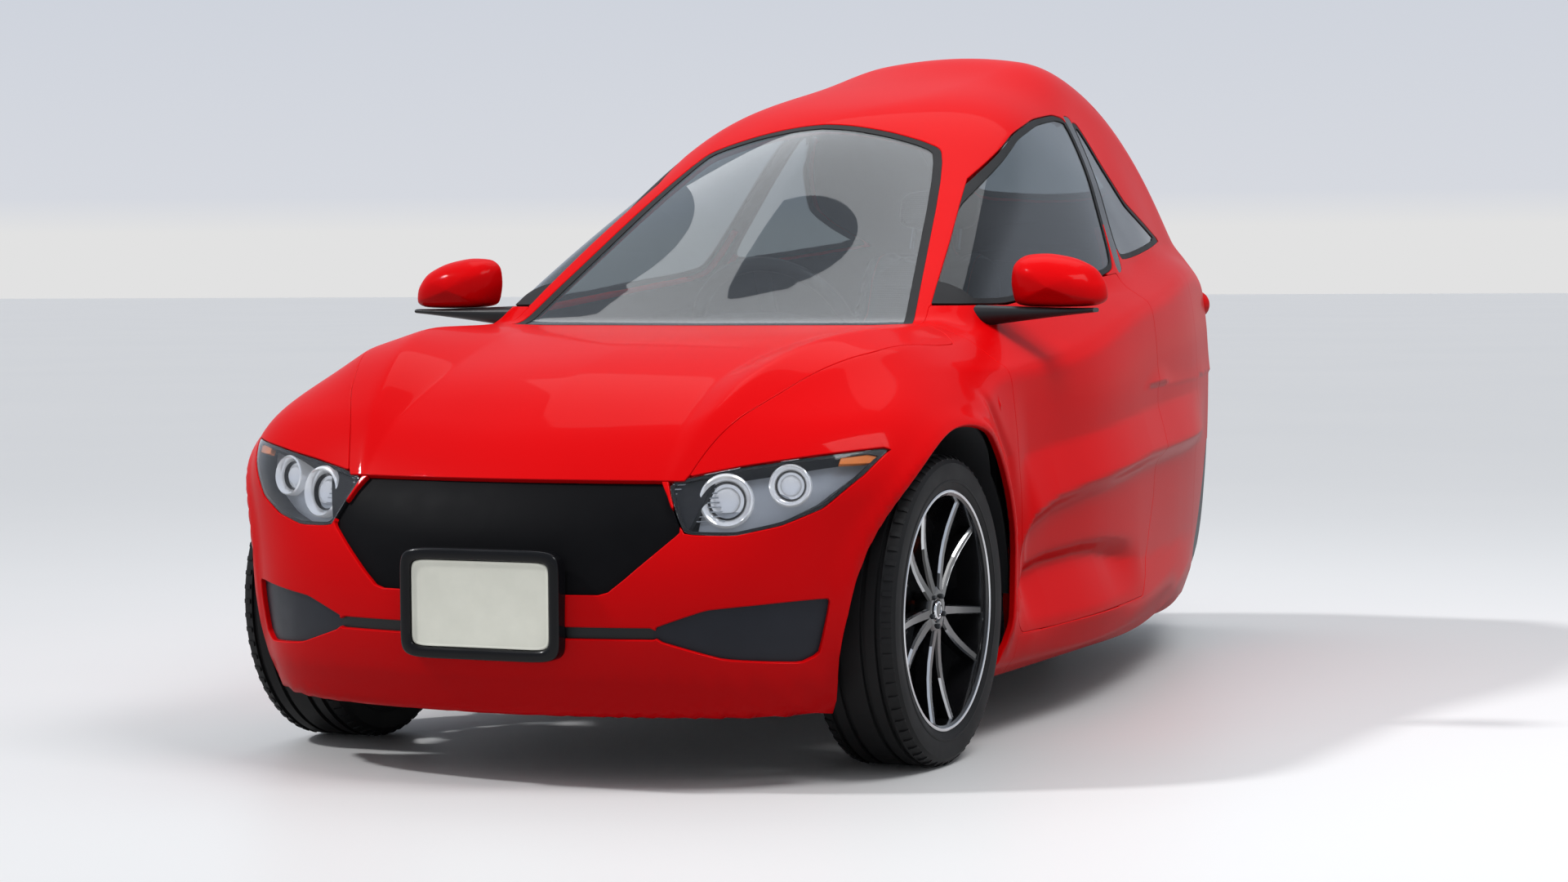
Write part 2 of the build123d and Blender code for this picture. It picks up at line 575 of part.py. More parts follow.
def knuckle():
    """Left upright with its spindle and the brake caliper in front of the axle."""
    low = LOWER_ARM_Z + ARM_T / 2 + SEAT
    high = UPPER_ARM_Z - ARM_T / 2 - SEAT
    upright = block((STEER_AXIS_X - 22, FRONT_AXLE_Y - 28, low), (STEER_AXIS_X + 22, FRONT_AXLE_Y + 28, high))
    for z, turn in ((LOWER_ARM_Z, 1), (UPPER_ARM_Z, -1)):
        reach = turn * (PIN_REACH + 2)
        upright -= rod((STEER_AXIS_X, FRONT_AXLE_Y, z), (STEER_AXIS_X, FRONT_AXLE_Y, z + reach),
                       PIN_R + RUNNING_FIT)
    wheel_x = FRONT_TRACK / 2
    spindle = rod((STEER_AXIS_X, FRONT_AXLE_Y, TYRE_R), (wheel_x + HUB_OUT - HUB_CAP, FRONT_AXLE_Y, TYRE_R),
                  SPINDLE_R)
    disc_in, disc_out = wheel_x + DISC_X, wheel_x + DISC_X + DISC_T
    caliper = block((disc_in - 16, FRONT_AXLE_Y - DISC_R - 22, TYRE_R - 52),
                    (disc_out + 16, FRONT_AXLE_Y - DISC_R + 36, TYRE_R + 52))
    slot = Pos((disc_in + disc_out) / 2, FRONT_AXLE_Y, TYRE_R) * Rot(0, 90, 0) * Cylinder(
        DISC_R + 5, DISC_T + 8)
    bracket = block((STEER_AXIS_X, FRONT_AXLE_Y - DISC_R, TYRE_R - 24),
                    (disc_in - 4, FRONT_AXLE_Y, TYRE_R + 24))
    return upright + spindle + (caliper - slot) + (bracket - slot)


def rear_suspension():
    """Swing arm with the rear spindle, and its spring leg."""
    pivot_y = WELL_FRONT_Y
    arms = Part()
    for side in (-1, 1):
        low_x, high_x = sorted((side * SWING_X, side * (SWING_X + SWING_T)))
        arms += block((low_x, pivot_y, TYRE_R - 24), (high_x, REAR_AXLE_Y + 40, TYRE_R + 24))
    tube = rod((-SWING_X - 4, SWING_TUBE_Y, TYRE_R), (SWING_X + 4, SWING_TUBE_Y, TYRE_R), SWING_TUBE_R)
    spindle = rod((-SWING_X - 4, REAR_AXLE_Y, TYRE_R), (SWING_X + 4, REAR_AXLE_Y, TYRE_R), SPINDLE_R)
    leg = rod((0, SWING_TUBE_Y, TYRE_R), (0, SWING_TUBE_Y, WELL_TOP_Z), 19)
    return arms + tube + spindle + leg


def rear_wheel_well():
    """Housing over the rear wheel, open below and behind."""
    outer = block((-WELL_X - WELL_WALL, WELL_FRONT_Y - WELL_WALL, FLOOR_Z),
                  (WELL_X + WELL_WALL, WELL_BACK_Y, WELL_TOP_Z + WELL_WALL))
    return outer - block((-WELL_X, WELL_FRONT_Y, 0), (WELL_X, FAR, WELL_TOP_Z))


def revolved(profile, centre):
    """Solid of revolution about a line along X, from a profile of (x, radius)."""
    wire = Wire(Polyline([Vector(x, 0, r) for x, r in profile], close=True).edges())
    return Pos(*centre) * revolve(Face(wire), Axis.X, 360)


def tyre(centre):
    """Tyre with a flat tread and chamfered shoulders."""
    half, bead, seat = TYRE_W / 2, RIM_W / 2, RIM_R + 0.1
    wall = (TYRE_R + RIM_R) / 2
    side = [(bead - 4, seat), (bead - 4, seat + 7), (half, wall), (half - 6, TYRE_R - 14),
            (half - TYRE_SHOULDER, TYRE_R - 2), (half - TYRE_SHOULDER - 18, TYRE_R)]
    return revolved(side + [(-x, r) for x, r in side[::-1]], centre)


def rim(centre, outward):
    """Wheel with five split spokes, its hub bored for the spindle."""
    half = RIM_W / 2
    inner = RIM_R - RIM_WALL
    barrel = revolved([(-half, inner), (half, inner), (half, RIM_R + 5), (half - 3.9, RIM_R + 5),
                       (half - 3.9, RIM_R), (-half + 3.9, RIM_R), (-half + 3.9, RIM_R + 5),
                       (-half, RIM_R + 5)], (0, 0, 0))
    hub = revolved([(DISC_X, 0), (HUB_OUT, 0), (HUB_OUT, HUB_R), (DISC_X, HUB_R)], (0, 0, 0))
    wheel = barrel + hub
    length = inner + 3 - HUB_R / 2
    for index in range(SPOKES):
        for side in (-1, 1):
            angle = index * 360 / SPOKES + side * SPOKE_SPLIT
            arm = Pos(SPOKE_OUT - SPOKE_T / 2, 0, HUB_R / 2 + length / 2) * Box(SPOKE_T, SPOKE_W, length)
            wheel += Rot(angle, 0, 0) * arm
    deep = HUB_OUT - HUB_CAP + 1
    if outward:
        wheel -= rod((DISC_X - 1, 0, 0), (deep, 0, 0), SPINDLE_R + RUNNING_FIT)
    else:
        wheel -= rod((-half, 0, 0), (half, 0, 0), SPINDLE_R + RUNNING_FIT)
    return Pos(*centre) * wheel


def brake_disc(centre):
    """Disc on the hub's inner end."""
    ring = [(DISC_X, HUB_R + 0.1), (DISC_X + DISC_T, HUB_R + 0.1), (DISC_X + DISC_T, DISC_R), (DISC_X, DISC_R)]
    return revolved(ring, centre)


def seat():
    """Pedestal, cushion, leaning back and headrest of the single seat."""
    half = SEAT_W / 2
    front, back = CUSHION_Y
    floor_top = FLOOR_Z + FLOOR_T
    pedestal = block((-half + 50, front + 50, floor_top), (half - 50, back - 20, CUSHION_Z[0] - SEAT))
    cushion = block((-half, front, CUSHION_Z[0]), (half, back, CUSHION_Z[1]))
    cushion = fillet(cushion.edges().filter_by(Axis.X), 30)
    lean = Pos(0, back + SEAT, CUSHION_Z[0] + BACK_RISE) * Rot(-BACK_LEAN, 0, 0)
    rest = block((-half, 0, 0), (half, BACK_T, BACK_H))
    rest = lean * fillet(rest.edges().filter_by(Axis.X).group_by(Axis.Z)[-1], 30)
    head = block((-110, 22, BACK_H + SEAT), (110, 96, BACK_H + 120))
    head = lean * fillet(head.edges().filter_by(Axis.X), 20)
    return pedestal, cushion, rest, head


def dashboard():
    """Panel across the cabin in front of the driver, with the steering column's hole."""
    y_top, z_top = DASH_BACK_Y, 792
    outline = [(CABIN_FRONT_Y, 560), (y_top - 60, 575), (y_top, 640), (y_top - 8, 745), (y_top - 70, z_top),
               (CABIN_FRONT_Y, z_top - 10)]
    panel = side_prism(outline, -EDGE_X, EDGE_X) & lower_form(WALL + POST_T + SEAT)
    return panel - rod(*column_line(0, 500), COLUMN_R + SEAT)


def column_line(start=0.0, end=380.0):
    """Two points on the steering column's axis, at distances ahead of the steering wheel."""
    y, z = cos(radians(COLUMN_TILT)), sin(radians(COLUMN_TILT))
    return [(0, COLUMN_Y - d * y, COLUMN_Z - d * z) for d in (start, end)]


def steering_column():
    """Column from the firewall to the wheel's boss, with its thin end shaft."""
    reach = (COLUMN_Y - CABIN_FRONT_Y) / cos(radians(COLUMN_TILT)) + 30
    start, end = column_line(COLUMN_GAP, reach)
    column = rod(start, end, COLUMN_R) & between(CABIN_FRONT_Y, 0)
    return column + rod(*column_line(0, COLUMN_GAP), COLUMN_SHAFT_R)


def steering_wheel():
    """Rim, three spokes and boss."""
    plane = Plane(origin=(0, COLUMN_Y, COLUMN_Z), x_dir=(1, 0, 0),
                  z_dir=(0, cos(radians(COLUMN_TILT)), sin(radians(COLUMN_TILT))))
    wheel = Torus(WHEEL_RIM_R, WHEEL_RIM_T)
    wheel += Pos(0, 0, 0) * Cylinder(44, 40)
    for angle in (0, 180, 270):
        wheel += Rot(0, 0, angle) * Pos(WHEEL_RIM_R / 2, 0, 0) * Box(WHEEL_RIM_R, 34, 12)
    wheel -= Pos(0, 0, -12) * Cylinder(COLUMN_SHAFT_R + RUNNING_FIT, 26)
    return plane.location * wheel


# ---- every node -----------------------------------------------------------------------------
CAB = cab_shell()
save("windshield_frame", CAB & between(-FAR, PILLAR_SPLIT_Y))
save("cab_shell", CAB & between(PILLAR_SPLIT_Y, TAIL_SPLIT_Y))
save("tail_shell", CAB & between(TAIL_SPLIT_Y, FAR))
save("floor_pan", floor_pan())
save("battery_pack", block((-250, -1190, FLOOR_Z + FRAME_BOX_WALL), (250, -650, 440)))
save("front_bumper", front_bumper())
save("grille_panel", (body_form(GRILLE_INSET) - body_form(GRILLE_INSET + INFILL_T)) & GRILLE_HOLE)
INTAKE_SHEET = body_form(INTAKE_INSET) - body_form(INTAKE_INSET + INFILL_T)
save("intake_grilles", (INTAKE_SHEET & (both_sides(INTAKE_HOLE) + SLOT_HOLE)) - wheel_arch(ARCH_R + LINER_T + SEAT))
save("plate_frame", plate_frame())
save("number_plate", number_plate())
save("sills", both_sides(sill()))
save("rear_cladding", rear_cladding())
save("tail_lamps", both_sides(tail_lamp()))
save("windshield", glass(WINDSHIELD_HOLE))
save("quarter_glass", both_sides(glass(QUARTER_HOLE)))
save("wheel_liners", both_sides(wheel_liner()))
save("front_suspension", both_sides(suspension()))
save("rear_suspension", rear_suspension())
save("rear_wheel_well", rear_wheel_well())
save("drive_motor", rod((-MOTOR_L / 2, sum(MOTOR_Y) / 2, FLOOR_Z + FLOOR_T + MOTOR_R),
                        (MOTOR_L / 2, sum(MOTOR_Y) / 2, FLOOR_Z + FLOOR_T + MOTOR_R), MOTOR_R))
for node, shape in zip(("seat_pedestal", "seat_cushion", "seat_back", "headrest"), seat()):
    save(node, shape)
save("dashboard", dashboard())
save("steering_column", steering_column())
save("steering_wheel", steering_wheel())
save("hood", hood())
save("hatch_panel", hatch_panel())
save("rear_glass", glass(REAR_WINDOW_HOLE))
for node, shape in (("front_fender", front_fender()), ("headlamp", headlamp()), ("door_panel", door_panel()),
                    ("door_glass", door_glass()), ("door_mirror", mirror_head()), ("knuckle", knuckle())):
    save(node + "_left", shape)
    save(node + "_right", mirrored(shape))
LEFT_WHEEL = (FRONT_TRACK / 2, FRONT_AXLE_Y, TYRE_R)
for piece, shape in (("rim", rim(LEFT_WHEEL, True)), ("tyre", tyre(LEFT_WHEEL)), ("disc", brake_disc(LEFT_WHEEL))):
    save(f"front_{piece}_left", shape)
    save(f"front_{piece}_right", mirrored(shape))
REAR_WHEEL = (0, REAR_AXLE_Y, TYRE_R)
save("rear_rim", rim(REAR_WHEEL, False))
save("rear_tyre", tyre(REAR_WHEEL))
save("rear_disc", brake_disc(REAR_WHEEL))
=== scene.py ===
import logging
import math
from collections.abc import Callable, Sequence
from dataclasses import dataclass, field
from enum import Enum
from functools import partial

import bmesh
import bpy
import numpy as np
from bpy.types import Material, Node, NodeSocket, NodeTree, Object
from mathutils import Matrix, Vector
from mathutils.bvhtree import BVHTree


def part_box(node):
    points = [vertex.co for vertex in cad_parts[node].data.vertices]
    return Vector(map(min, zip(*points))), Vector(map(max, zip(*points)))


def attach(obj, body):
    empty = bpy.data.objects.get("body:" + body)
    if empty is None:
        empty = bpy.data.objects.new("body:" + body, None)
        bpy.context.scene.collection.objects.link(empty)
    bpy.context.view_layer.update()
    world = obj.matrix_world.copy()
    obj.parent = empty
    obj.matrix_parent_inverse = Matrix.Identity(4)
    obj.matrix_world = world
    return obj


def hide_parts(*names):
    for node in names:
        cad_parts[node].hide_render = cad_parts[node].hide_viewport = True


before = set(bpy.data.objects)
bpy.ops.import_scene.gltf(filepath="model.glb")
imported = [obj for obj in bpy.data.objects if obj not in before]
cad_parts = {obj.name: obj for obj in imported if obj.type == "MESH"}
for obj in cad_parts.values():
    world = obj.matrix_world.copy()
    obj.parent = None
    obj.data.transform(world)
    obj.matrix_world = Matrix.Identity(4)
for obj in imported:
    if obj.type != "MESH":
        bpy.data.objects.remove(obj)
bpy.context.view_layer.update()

LOG = logging.getLogger("three_wheeled_car")
Array = np.ndarray
Field = Callable[[Array], Array]
Pair = tuple[float, float]
Triple = tuple[float, float, float]
Table = Sequence[Sequence[float]]

# ---------------------------------------------------------------- sizes shared by the pieces, in metres
AXLE_FRONT = -0.970
AXLE_REAR = 1.070
WHEEL_X = 0.575
TYRE_R = 0.280
ARCH_R = 0.318
ARCH_RISE = 0.016
SHUT_GAP = 0.0042
SEAM_GAP = 0.0012
EDGE_ROUND = 0.0024
TRIM_ROUND = 0.001
PANE_ROUND = 0.0008
COWL_Y = -0.606
DOOR_BACK_Y = 0.455
SILL_TOP = 0.196
FENDER_FRONT_Y = -1.212
HOOD_EDGE_Z = 0.531
HATCH_HALF = 0.262
HATCH_TOP_Y = 0.985
HATCH_EDGE_Z = 0.905
LIP_Z = 0.124
TAIL_LAMP_X, TAIL_LAMP_Z, TAIL_LAMP_R = 0.372, 0.796, 0.031
CHEEK_Y, FLARE_Y, HEEL_Y, DOOR_Y, WAIST_Y, QUARTER_Y = -1.240, -0.990, -0.720, -0.150, 0.440, 0.950
NOSE_X, NOSE_SET, TAIL_TURN = 0.290, 0.038, 0.088
FRONT_FAN, REAR_FAN, FAN_SCALE = -0.95, 1.05, 0.6

# height, nose y, bow x, bow y, cheek x, flare x, heel x, door x, waist x, quarter x, tail x, tail y, in mm
PLAN = (
    (122, -1478, 470, -1368, 580, 640, 640, 655, 596, 497, 368, 1497),
    (215, -1503, 484, -1380, 604, 682, 660, 663, 603, 512, 386, 1513),
    (335, -1508, 492, -1382, 622, 700, 668, 663, 603, 520, 400, 1515),
    (450, -1482, 490, -1368, 632, 706, 670, 662, 603, 524, 408, 1515),
    (560, -1430, 484, -1345, 636, 704, 664, 660, 602, 526, 412, 1513),
    (650, -1400, 470, -1320, 628, 690, 652, 656, 600, 524, 414, 1509),
    (740, -1380, 450, -1300, 600, 640, 630, 640, 592, 518, 412, 1503),
    (960, -1360, 420, -1280, 560, 590, 580, 590, 540, 470, 380, 1487),
)
# station, centre z, x and z of inner crease, crest, shut line and fender, then z at the far edge, in mm
TOP = (
    (-1540, 482, 280, 478, 296, 482, 314, 480, 540, 452, 300),
    (-1420, 560, 286, 554, 300, 560, 318, 558, 545, 532, 420),
    (-1325, 619, 290, 610, 330, 626, 368, 616, 556, 578, 470),
    (-1215, 678, 284, 668, 362, 696, 432, 676, 580, 632, 500),
    (-1000, 742, 300, 733, 424, 770, 524, 744, 606, 692, 520),
    (-780, 769, 330, 769, 478, 787, 556, 750, 624, 702, 560),
    (-600, 782, 350, 783, 480, 787, 552, 758, 630, 701, 600),
    (-300, 818, 380, 818, 500, 815, 532, 800, 642, 716, 600),
    (250, 862, 380, 862, 480, 862, 508, 850, 604, 788, 640),
    (700, 898, 360, 898, 440, 896, 468, 884, 552, 828, 640),
    (1174, 938, 290, 938, 352, 938, 380, 926, 456, 868, 560),
    (1450, 950, 250, 950, 312, 948, 338, 915, 384, 862, 420),
    (1560, 950, 250, 950, 300, 948, 322, 910, 372, 850, 400),
)
TOP_EDGE_X = 0.860
# station, foot x, then x and z of the side corner and the roof edge, and the crown's z, in mm
CABIN = (
    (-720, 540, 505, 690, 450, 694, 696),
    (-606, 556, 500, 782, 440, 781, 781),
    (-560, 560, 497, 811, 430, 810, 810),
    (-300, 575, 460, 958, 366, 972, 990),
    (0, 578, 408, 1112, 292, 1152, 1190),
    (200, 580, 376, 1196, 288, 1238, 1252),
    (500, 570, 350, 1240, 286, 1292, 1314),
    (620, 548, 344, 1242, 278, 1314, 1342),
    (760, 526, 340, 1226, 262, 1338, 1372),
    (940, 498, 346, 1172, 258, 1318, 1366),
    (1170, 460, 350, 1075, 278, 1226, 1284),
    (1330, 424, 350, 1000, 298, 1100, 1158),
    (1470, 392, 336, 944, 300, 964, 985),
)
CABIN_FOOT_Z = 0.690
BELT_LINE = ((-585, 822), (-300, 818), (100, 852), (455, 879))
DOOR_WINDOW = BELT_LINE + ((546, 1065), (600, 1222), (521, 1230), (357, 1214), (184, 1178), (-174, 1035),
    (-428, 888))
QUARTER_WINDOW = ((522, 894), (594, 1065), (640, 1218), (688, 1215), (749, 1122), (840, 1040), (952, 1004),
    (1094, 966), (1180, 950))
# station, then heights of the door's band, its lower edge, the scoop's brow and the scoop's top, in mm
DOOR_LINES = (
    (-680, 500, 330, 262, 215),
    (-605, 514, 372, 300, 266),
    (-549, 534, 424, 322, 305),
    (-419, 546, 450, 338, 318),
    (-214, 557, 468, 344, 321),
    (-96, 565, 475, 342, 315),
    (90, 577, 487, 330, 290),
    (264, 586, 496, 320, 275),
    (1006, 604, 508, 320, 275),
)
# station and height of the thin ridge below the windows, in mm
DOOR_RIDGE = ((-913, 716), (-718, 707), (-569, 706), (-414, 716), (-178, 748), (171, 788), (541, 830),
    (911, 868))
# station and the x that side windows stay outside of, in mm
PILLAR_LINE = ((-640, 462), (-300, 398), (20, 330), (300, 300), (1300, 300))
WINDSHIELD = ((-427, -560), (-280, 20), (280, 20), (427, -560), (436, -597), (400, -599), (-400, -599),
    (-436, -597))
DOOR_HEEL = ((455, 640), (455, 560), (442, 500), (413, 392), (330, 292), (262, 238), (200, 200))
REAR_WINDOW = ((-196, 1060), (-222, 1380), (222, 1380), (196, 1060))
GRILLE = ((-296, 530), (296, 530), (344, 446), (226, 338), (-226, 338), (-344, 446))
LAMP = ((301, 531), (420, 556), (537, 574), (640, 586), (612, 540), (560, 484), (500, 456), (430, 440),
    (348, 442))
INTAKE = ((306, 287), (392, 318), (574, 335), (550, 217), (418, 227), (306, 262))
SLOT = ((-310, 262), (310, 262), (310, 287), (-310, 287))
HOOD = ((0, -1600), (300, -1600), (318, -1420), (368, -1325), (432, -1215), (524, -1000), (556, -780),
    (558, -690), (520, -640), (430, -606), (0, -606))
CLADDING = ((960, 100), (1060, 196), (1215, 262), (1330, 360), (1400, 470), (1600, 470), (1600, 100))


# ---------------------------------------------------------------- curves, fields and the body's skin
def spline(knots: Array, values: Array, places: Array) -> Array:
    """Natural cubic curve through rows of values.

    Args:
        knots: Rising places of the rows.
        values: One row for each knot.
        places: Where the curve is read, kept between the first and last knot.

    Returns:
        One row of values for each place.
    """
    knots, values = np.asarray(knots, float), np.asarray(values, float)
    count, span = len(knots), np.diff(knots)
    system, right = np.eye(count), np.zeros_like(values)
    for i in range(1, count - 1):
        system[i, i - 1 : i + 2] = span[i - 1], 2 * (span[i - 1] + span[i]), span[i]
        right[i] = 6 * ((values[i + 1] - values[i]) / span[i] - (values[i] - values[i - 1]) / span[i - 1])
    bend = np.linalg.solve(system, right)
    places = np.clip(places, knots[0], knots[-1])
    k = np.clip(np.searchsorted(knots, places) - 1, 0, count - 2)
    shape = (-1,) + (1,) * (values.ndim - 1)
    low, high, step = (places - knots[k]).reshape(shape), (knots[k + 1] - places).reshape(shape), span[
        k].reshape(shape)
    return ((bend[k] * high**3 + bend[k + 1] * low**3) / (6 * step) + (values[k] / step
        - bend[k] * step / 6) * high + (values[k + 1] / step - bend[k + 1] * step / 6) * low)


def softened(table: Array, axis: int, samples: float) -> Array:
    """Table blurred along one axis by a bell curve, with its ends carried on.

    Args:
        table: Evenly spaced samples.
        axis: Axis that is blurred.
        samples: Width of the bell, in samples.

    Returns:
        A table of the same shape.
    """
    reach = int(math.ceil(3 * samples))
    bell = np.exp(-0.5 * (np.arange(-reach, reach + 1) / samples) ** 2)
    bell /= bell.sum()
    moved = np.moveaxis(table, axis, 0)
    before = 2 * moved[:1] - moved[1 : reach + 1][::-1]
    after = 2 * moved[-1:] - moved[-reach - 1 : -1][::-1]
    padded = np.concatenate([before, moved, after])
    total = sum(weight * padded[i : i + len(moved)] for i, weight in enumerate(bell))
    return np.moveaxis(total, 0, axis)


def soft_min(a: Array, b: Array, width: float | Array) -> Array:
    """Smaller of two fields, with their meeting rounded over a width."""
    near = np.maximum(width - np.abs(a - b), 0) / width
    return np.minimum(a, b) - near * near * width / 4


def ramp(distance: Array, radius: float) -> Array:
    """Zero before a crease and rising at slope one after it, rounded by a radius."""
    return (distance + np.sqrt(distance * distance + radius * radius)) / 2


def bump(distance: Array, width: float) -> Array:
    """Bell of height one and a given width."""
    return np.exp(-((distance / width) ** 2))


def step_up(value: Array, low: float, high: float) -> Array:
    """Smooth step from zero at low to one at high."""
    share = np.clip((value - low) / (high - low), 0, 1)
    return share * share * (3 - 2 * share)


def rounded(points: Table, passes: int = 3, share: float = 0.16) -> Array:
    """Closed outline in metres with its corners cut smooth.

    Args:
        points: Corners in millimetres.
        passes: How often each corner is cut.
        share: Part of each side that the first cut takes.

    Returns:
        The outline's corners in metres.
    """
    line = np.array(points, float) / 1000
    for turn in range(passes):
        after = np.roll(line, -1, axis=0)
        cut = share if turn == 0 else 0.25
        line = np.stack([line + (after - line) * cut, after + (line - after) * cut], 1).reshape(-1, 2)
    return line


def within(outline: Array, u: Array, v: Array) -> Array:
    """Signed distance to a closed outline, above zero inside it.

    Args:
        outline: Corners of the outline.
        u: First coordinates of the points.
        v: Second coordinates of the points.

    Returns:
        One distance for each point.
    """
    best, inside = np.full(u.shape, 9.0), np.zeros(u.shape, bool)
    for (au, av), (bu, bv) in zip(outline, np.roll(outline, -1, axis=0)):
        du, dv = bu - au, bv - av
        along = np.clip(((u - au) * du + (v - av) * dv) / (du * du + dv * dv + 1e-12), 0, 1)
        best = np.minimum(best, np.hypot(u - au - along * du, v - av - along * dv))
        crossing = (av > v) != (bv > v)
        inside ^= crossing & (u < au + (v - av) * du / (dv if abs(dv) > 1e-12 else 1e-12))
    return np.where(inside, best, -best)


@dataclass(frozen=True)
class Track:
    """Evenly spaced rows of values along one coordinate, read between samples."""

    start: float
    step: float
    rows: Array

    def __call__(self, places: Array) -> Array:
        """Rows of values at the places."""
        spot = np.clip((places - self.start) / self.step, 0, len(self.rows) - 1.001)
        low = spot.astype(int)
        share = (spot - low)[:, None]
        return self.rows[low] * (1 - share) + self.rows[low + 1] * share


@dataclass
class BodyForm:
    """The body's outer form as a field: above zero inside, falling about a metre per metre outwards."""

    sample: float = 0.005
    plan_z: Pair = (0.10, 0.97)
    crease_radii: tuple[float, ...] = (0.040, 0.006, 0.012, 0.008, 0.060)
    belt_radius: float = 0.014
    shoulder: float = 0.085
    belt_shoulder: float = 0.020
    side_corner: float = 0.090
    roof_corner: float = 0.075
    fillet: float = 0.014
    lip_round: float = 0.022
    top: Track = field(init=False)
    cabin: Track = field(init=False)
    plan: Array = field(init=False)
    plan_p: Array = field(init=False)

    def __post_init__(self) -> None:
        """Samples the tables on even grids and softens them."""
        self.top = self._track(TOP, 4.0)
        self.cabin = self._track(CABIN, 4.0)
        heights = np.array([row[0] for row in PLAN]) / 1000
        self.plan_p = np.arange(FRONT_FAN - FAN_SCALE * math.pi / 2, REAR_FAN + FAN_SCALE * math.pi / 2,
            self.sample)
        rows = np.stack([self._outline(row) for row in PLAN])
        levels = np.arange(*self.plan_z, self.sample * 2)
        table = spline(heights, rows, levels)
        below = levels < heights[0]
        table[below] = table[~below][0] + (levels[below] - heights[0])[:, None] * 0.3
        self.plan = softened(softened(table, 1, 4.0), 0, 2.5)

    def _track(self, table: Table, soft: float) -> Track:
        """Track of a table whose first column is the station."""
        rows = np.array(table, float) / 1000
        stations = np.arange(rows[0, 0], rows[-1, 0], self.sample)
        return Track(rows[0, 0], self.sample, softened(spline(rows[:, 0], rows[:, 1:], stations), 0, soft))

    def _outline(self, row: Sequence[float]) -> Array:
        """Distances from the spine to one level's outline, by place along it."""
        nose, bow_x, bow_y, cheek, flare, heel, door, waist, quarter, tail_x, tail = (v / 1000
            for v in row[1:])
        half = [(0.0, nose), (NOSE_X / 2, nose + NOSE_SET / 4), (NOSE_X, nose + NOSE_SET), (bow_x, bow_y),
            (cheek, CHEEK_Y), (flare, FLARE_Y), (heel, HEEL_Y), (door, DOOR_Y), (waist, WAIST_Y),
            (quarter, QUARTER_Y), (tail_x, tail - TAIL_TURN), (tail_x - 0.026, tail - 0.024),
            (tail_x - TAIL_TURN, tail), (0.0, tail + 0.010),]
        line = np.array([(-x, y) for x, y in half[2:0:-1]] + half + [(-x, y) for x, y in half[-2:-4:-1]])
        length = np.concatenate([[0], np.cumsum(np.hypot(*np.diff(line, axis=0).T))])
        fine = spline(length, line, np.linspace(length[2], length[-3], 1500))
        place, reach = self.spine(np.abs(fine[:, 0]), fine[:, 1])
        order = np.argsort(place)
        return np.interp(self.plan_p, place[order], reach[order])

    @staticmethod
    def spine(x: Array, y: Array) -> tuple[Array, Array]:
        """Place along the spine and distance from it, for points at or right of it."""
        ahead, behind = np.maximum(FRONT_FAN - y, 0), np.maximum(y - REAR_FAN, 0)
        turn = np.arctan2(ahead + behind, np.maximum(x, 1e-9))
        place = np.clip(y, FRONT_FAN, REAR_FAN) + FAN_SCALE * turn * np.sign(y - FRONT_FAN) * (ahead
            + behind > 0)
        return place, np.hypot(x, ahead + behind)

    def side(self, x: Array, y: Array, z: Array) -> Array:
        """Depth inside the body's side, nose and tail."""
        place, reach = self.spine(x, y)
        u = np.clip((place - self.plan_p[0]) / self.sample, 0, self.plan.shape[1] - 1.001)
        v = np.clip((z - self.plan_z[0]) / (self.sample * 2), 0, self.plan.shape[0] - 1.001)
        i, j = u.astype(int), v.astype(int)
        a, b = u - i, v - j
        grid = self.plan
        limit = ((grid[j, i] * (1 - a) + grid[j, i + 1] * a) * (1 - b) + (grid[j + 1,
            i] * (1 - a) + grid[j + 1, i + 1] * a) * b)
        return limit - reach + self.relief(y, z)

    def relief(self, y: Array, z: Array) -> Array:
        """Raised and sunken shapes of the side: the arch lip, the door's band and its scoop."""
        arch = np.hypot(y - AXLE_FRONT, z - TYRE_R - ARCH_RISE)
        lip = 0.010 * bump(arch - ARCH_R - 0.008, 0.016) * step_up(z, 0.15, 0.24)
        valley_y = np.interp(z, (0.29, 0.41, 0.54, 0.68), (-0.631, -0.629, -0.674, -0.817))
        valley = -0.006 * bump(y - valley_y, 0.024) * step_up(z, 0.20, 0.30) * (1 - step_up(z, 0.62, 0.70))
        lines = np.array(DOOR_LINES) / 1000
        band, under, brow, scoop = (np.interp(y, lines[:, 0], lines[:, c]) for c in (1, 2, 3, 4))
        ridge = np.interp(y, *(np.array(DOOR_RIDGE).T / 1000))
        crest = 0.006 * bump(z - ridge, 0.011) * (1 - step_up(y, 0.85, 1.05))
        span = step_up(y, -0.63, -0.52) * (1 - step_up(y, 0.80, 1.30))
        deep = 0.030 * step_up(y, -0.64, -0.50) * (1 - step_up(y, -0.02, 0.25))
        marks = (ridge - 0.02, band, under, under - 0.030, brow, scoop, 0 * y + 0.190, 0 * y + 0.150)
        sizes = (0 * y, -0.008 * span, 0.018 * span, -0.012 * span, -0.013 * span - 0.1 * deep,
            -0.013 * span - deep, 0.006 * span, -0.006 + 0 * y)
        return lip + valley + crest + self.profile(z, marks, sizes)

    @staticmethod
    def profile(z: Array, marks: Sequence[Array], sizes: Sequence[Array]) -> Array:
        """Relief read down the side: given sizes at falling heights, with each corner a little rounded."""
        total, last = sizes[0].copy(), np.zeros_like(z)
        for k, radius in enumerate((0.020, 0.005, 0.004, 0.010, 0.006, 0.006, 0.006, 0.012)):
            slope = ((sizes[k + 1] - sizes[k]) / np.maximum(marks[k] - marks[k + 1],
                0.008) if k + 1 < len(marks) else np.zeros_like(z))
            total = total + (slope - last) * ramp(marks[k] - z, radius)
            last = slope
        return total

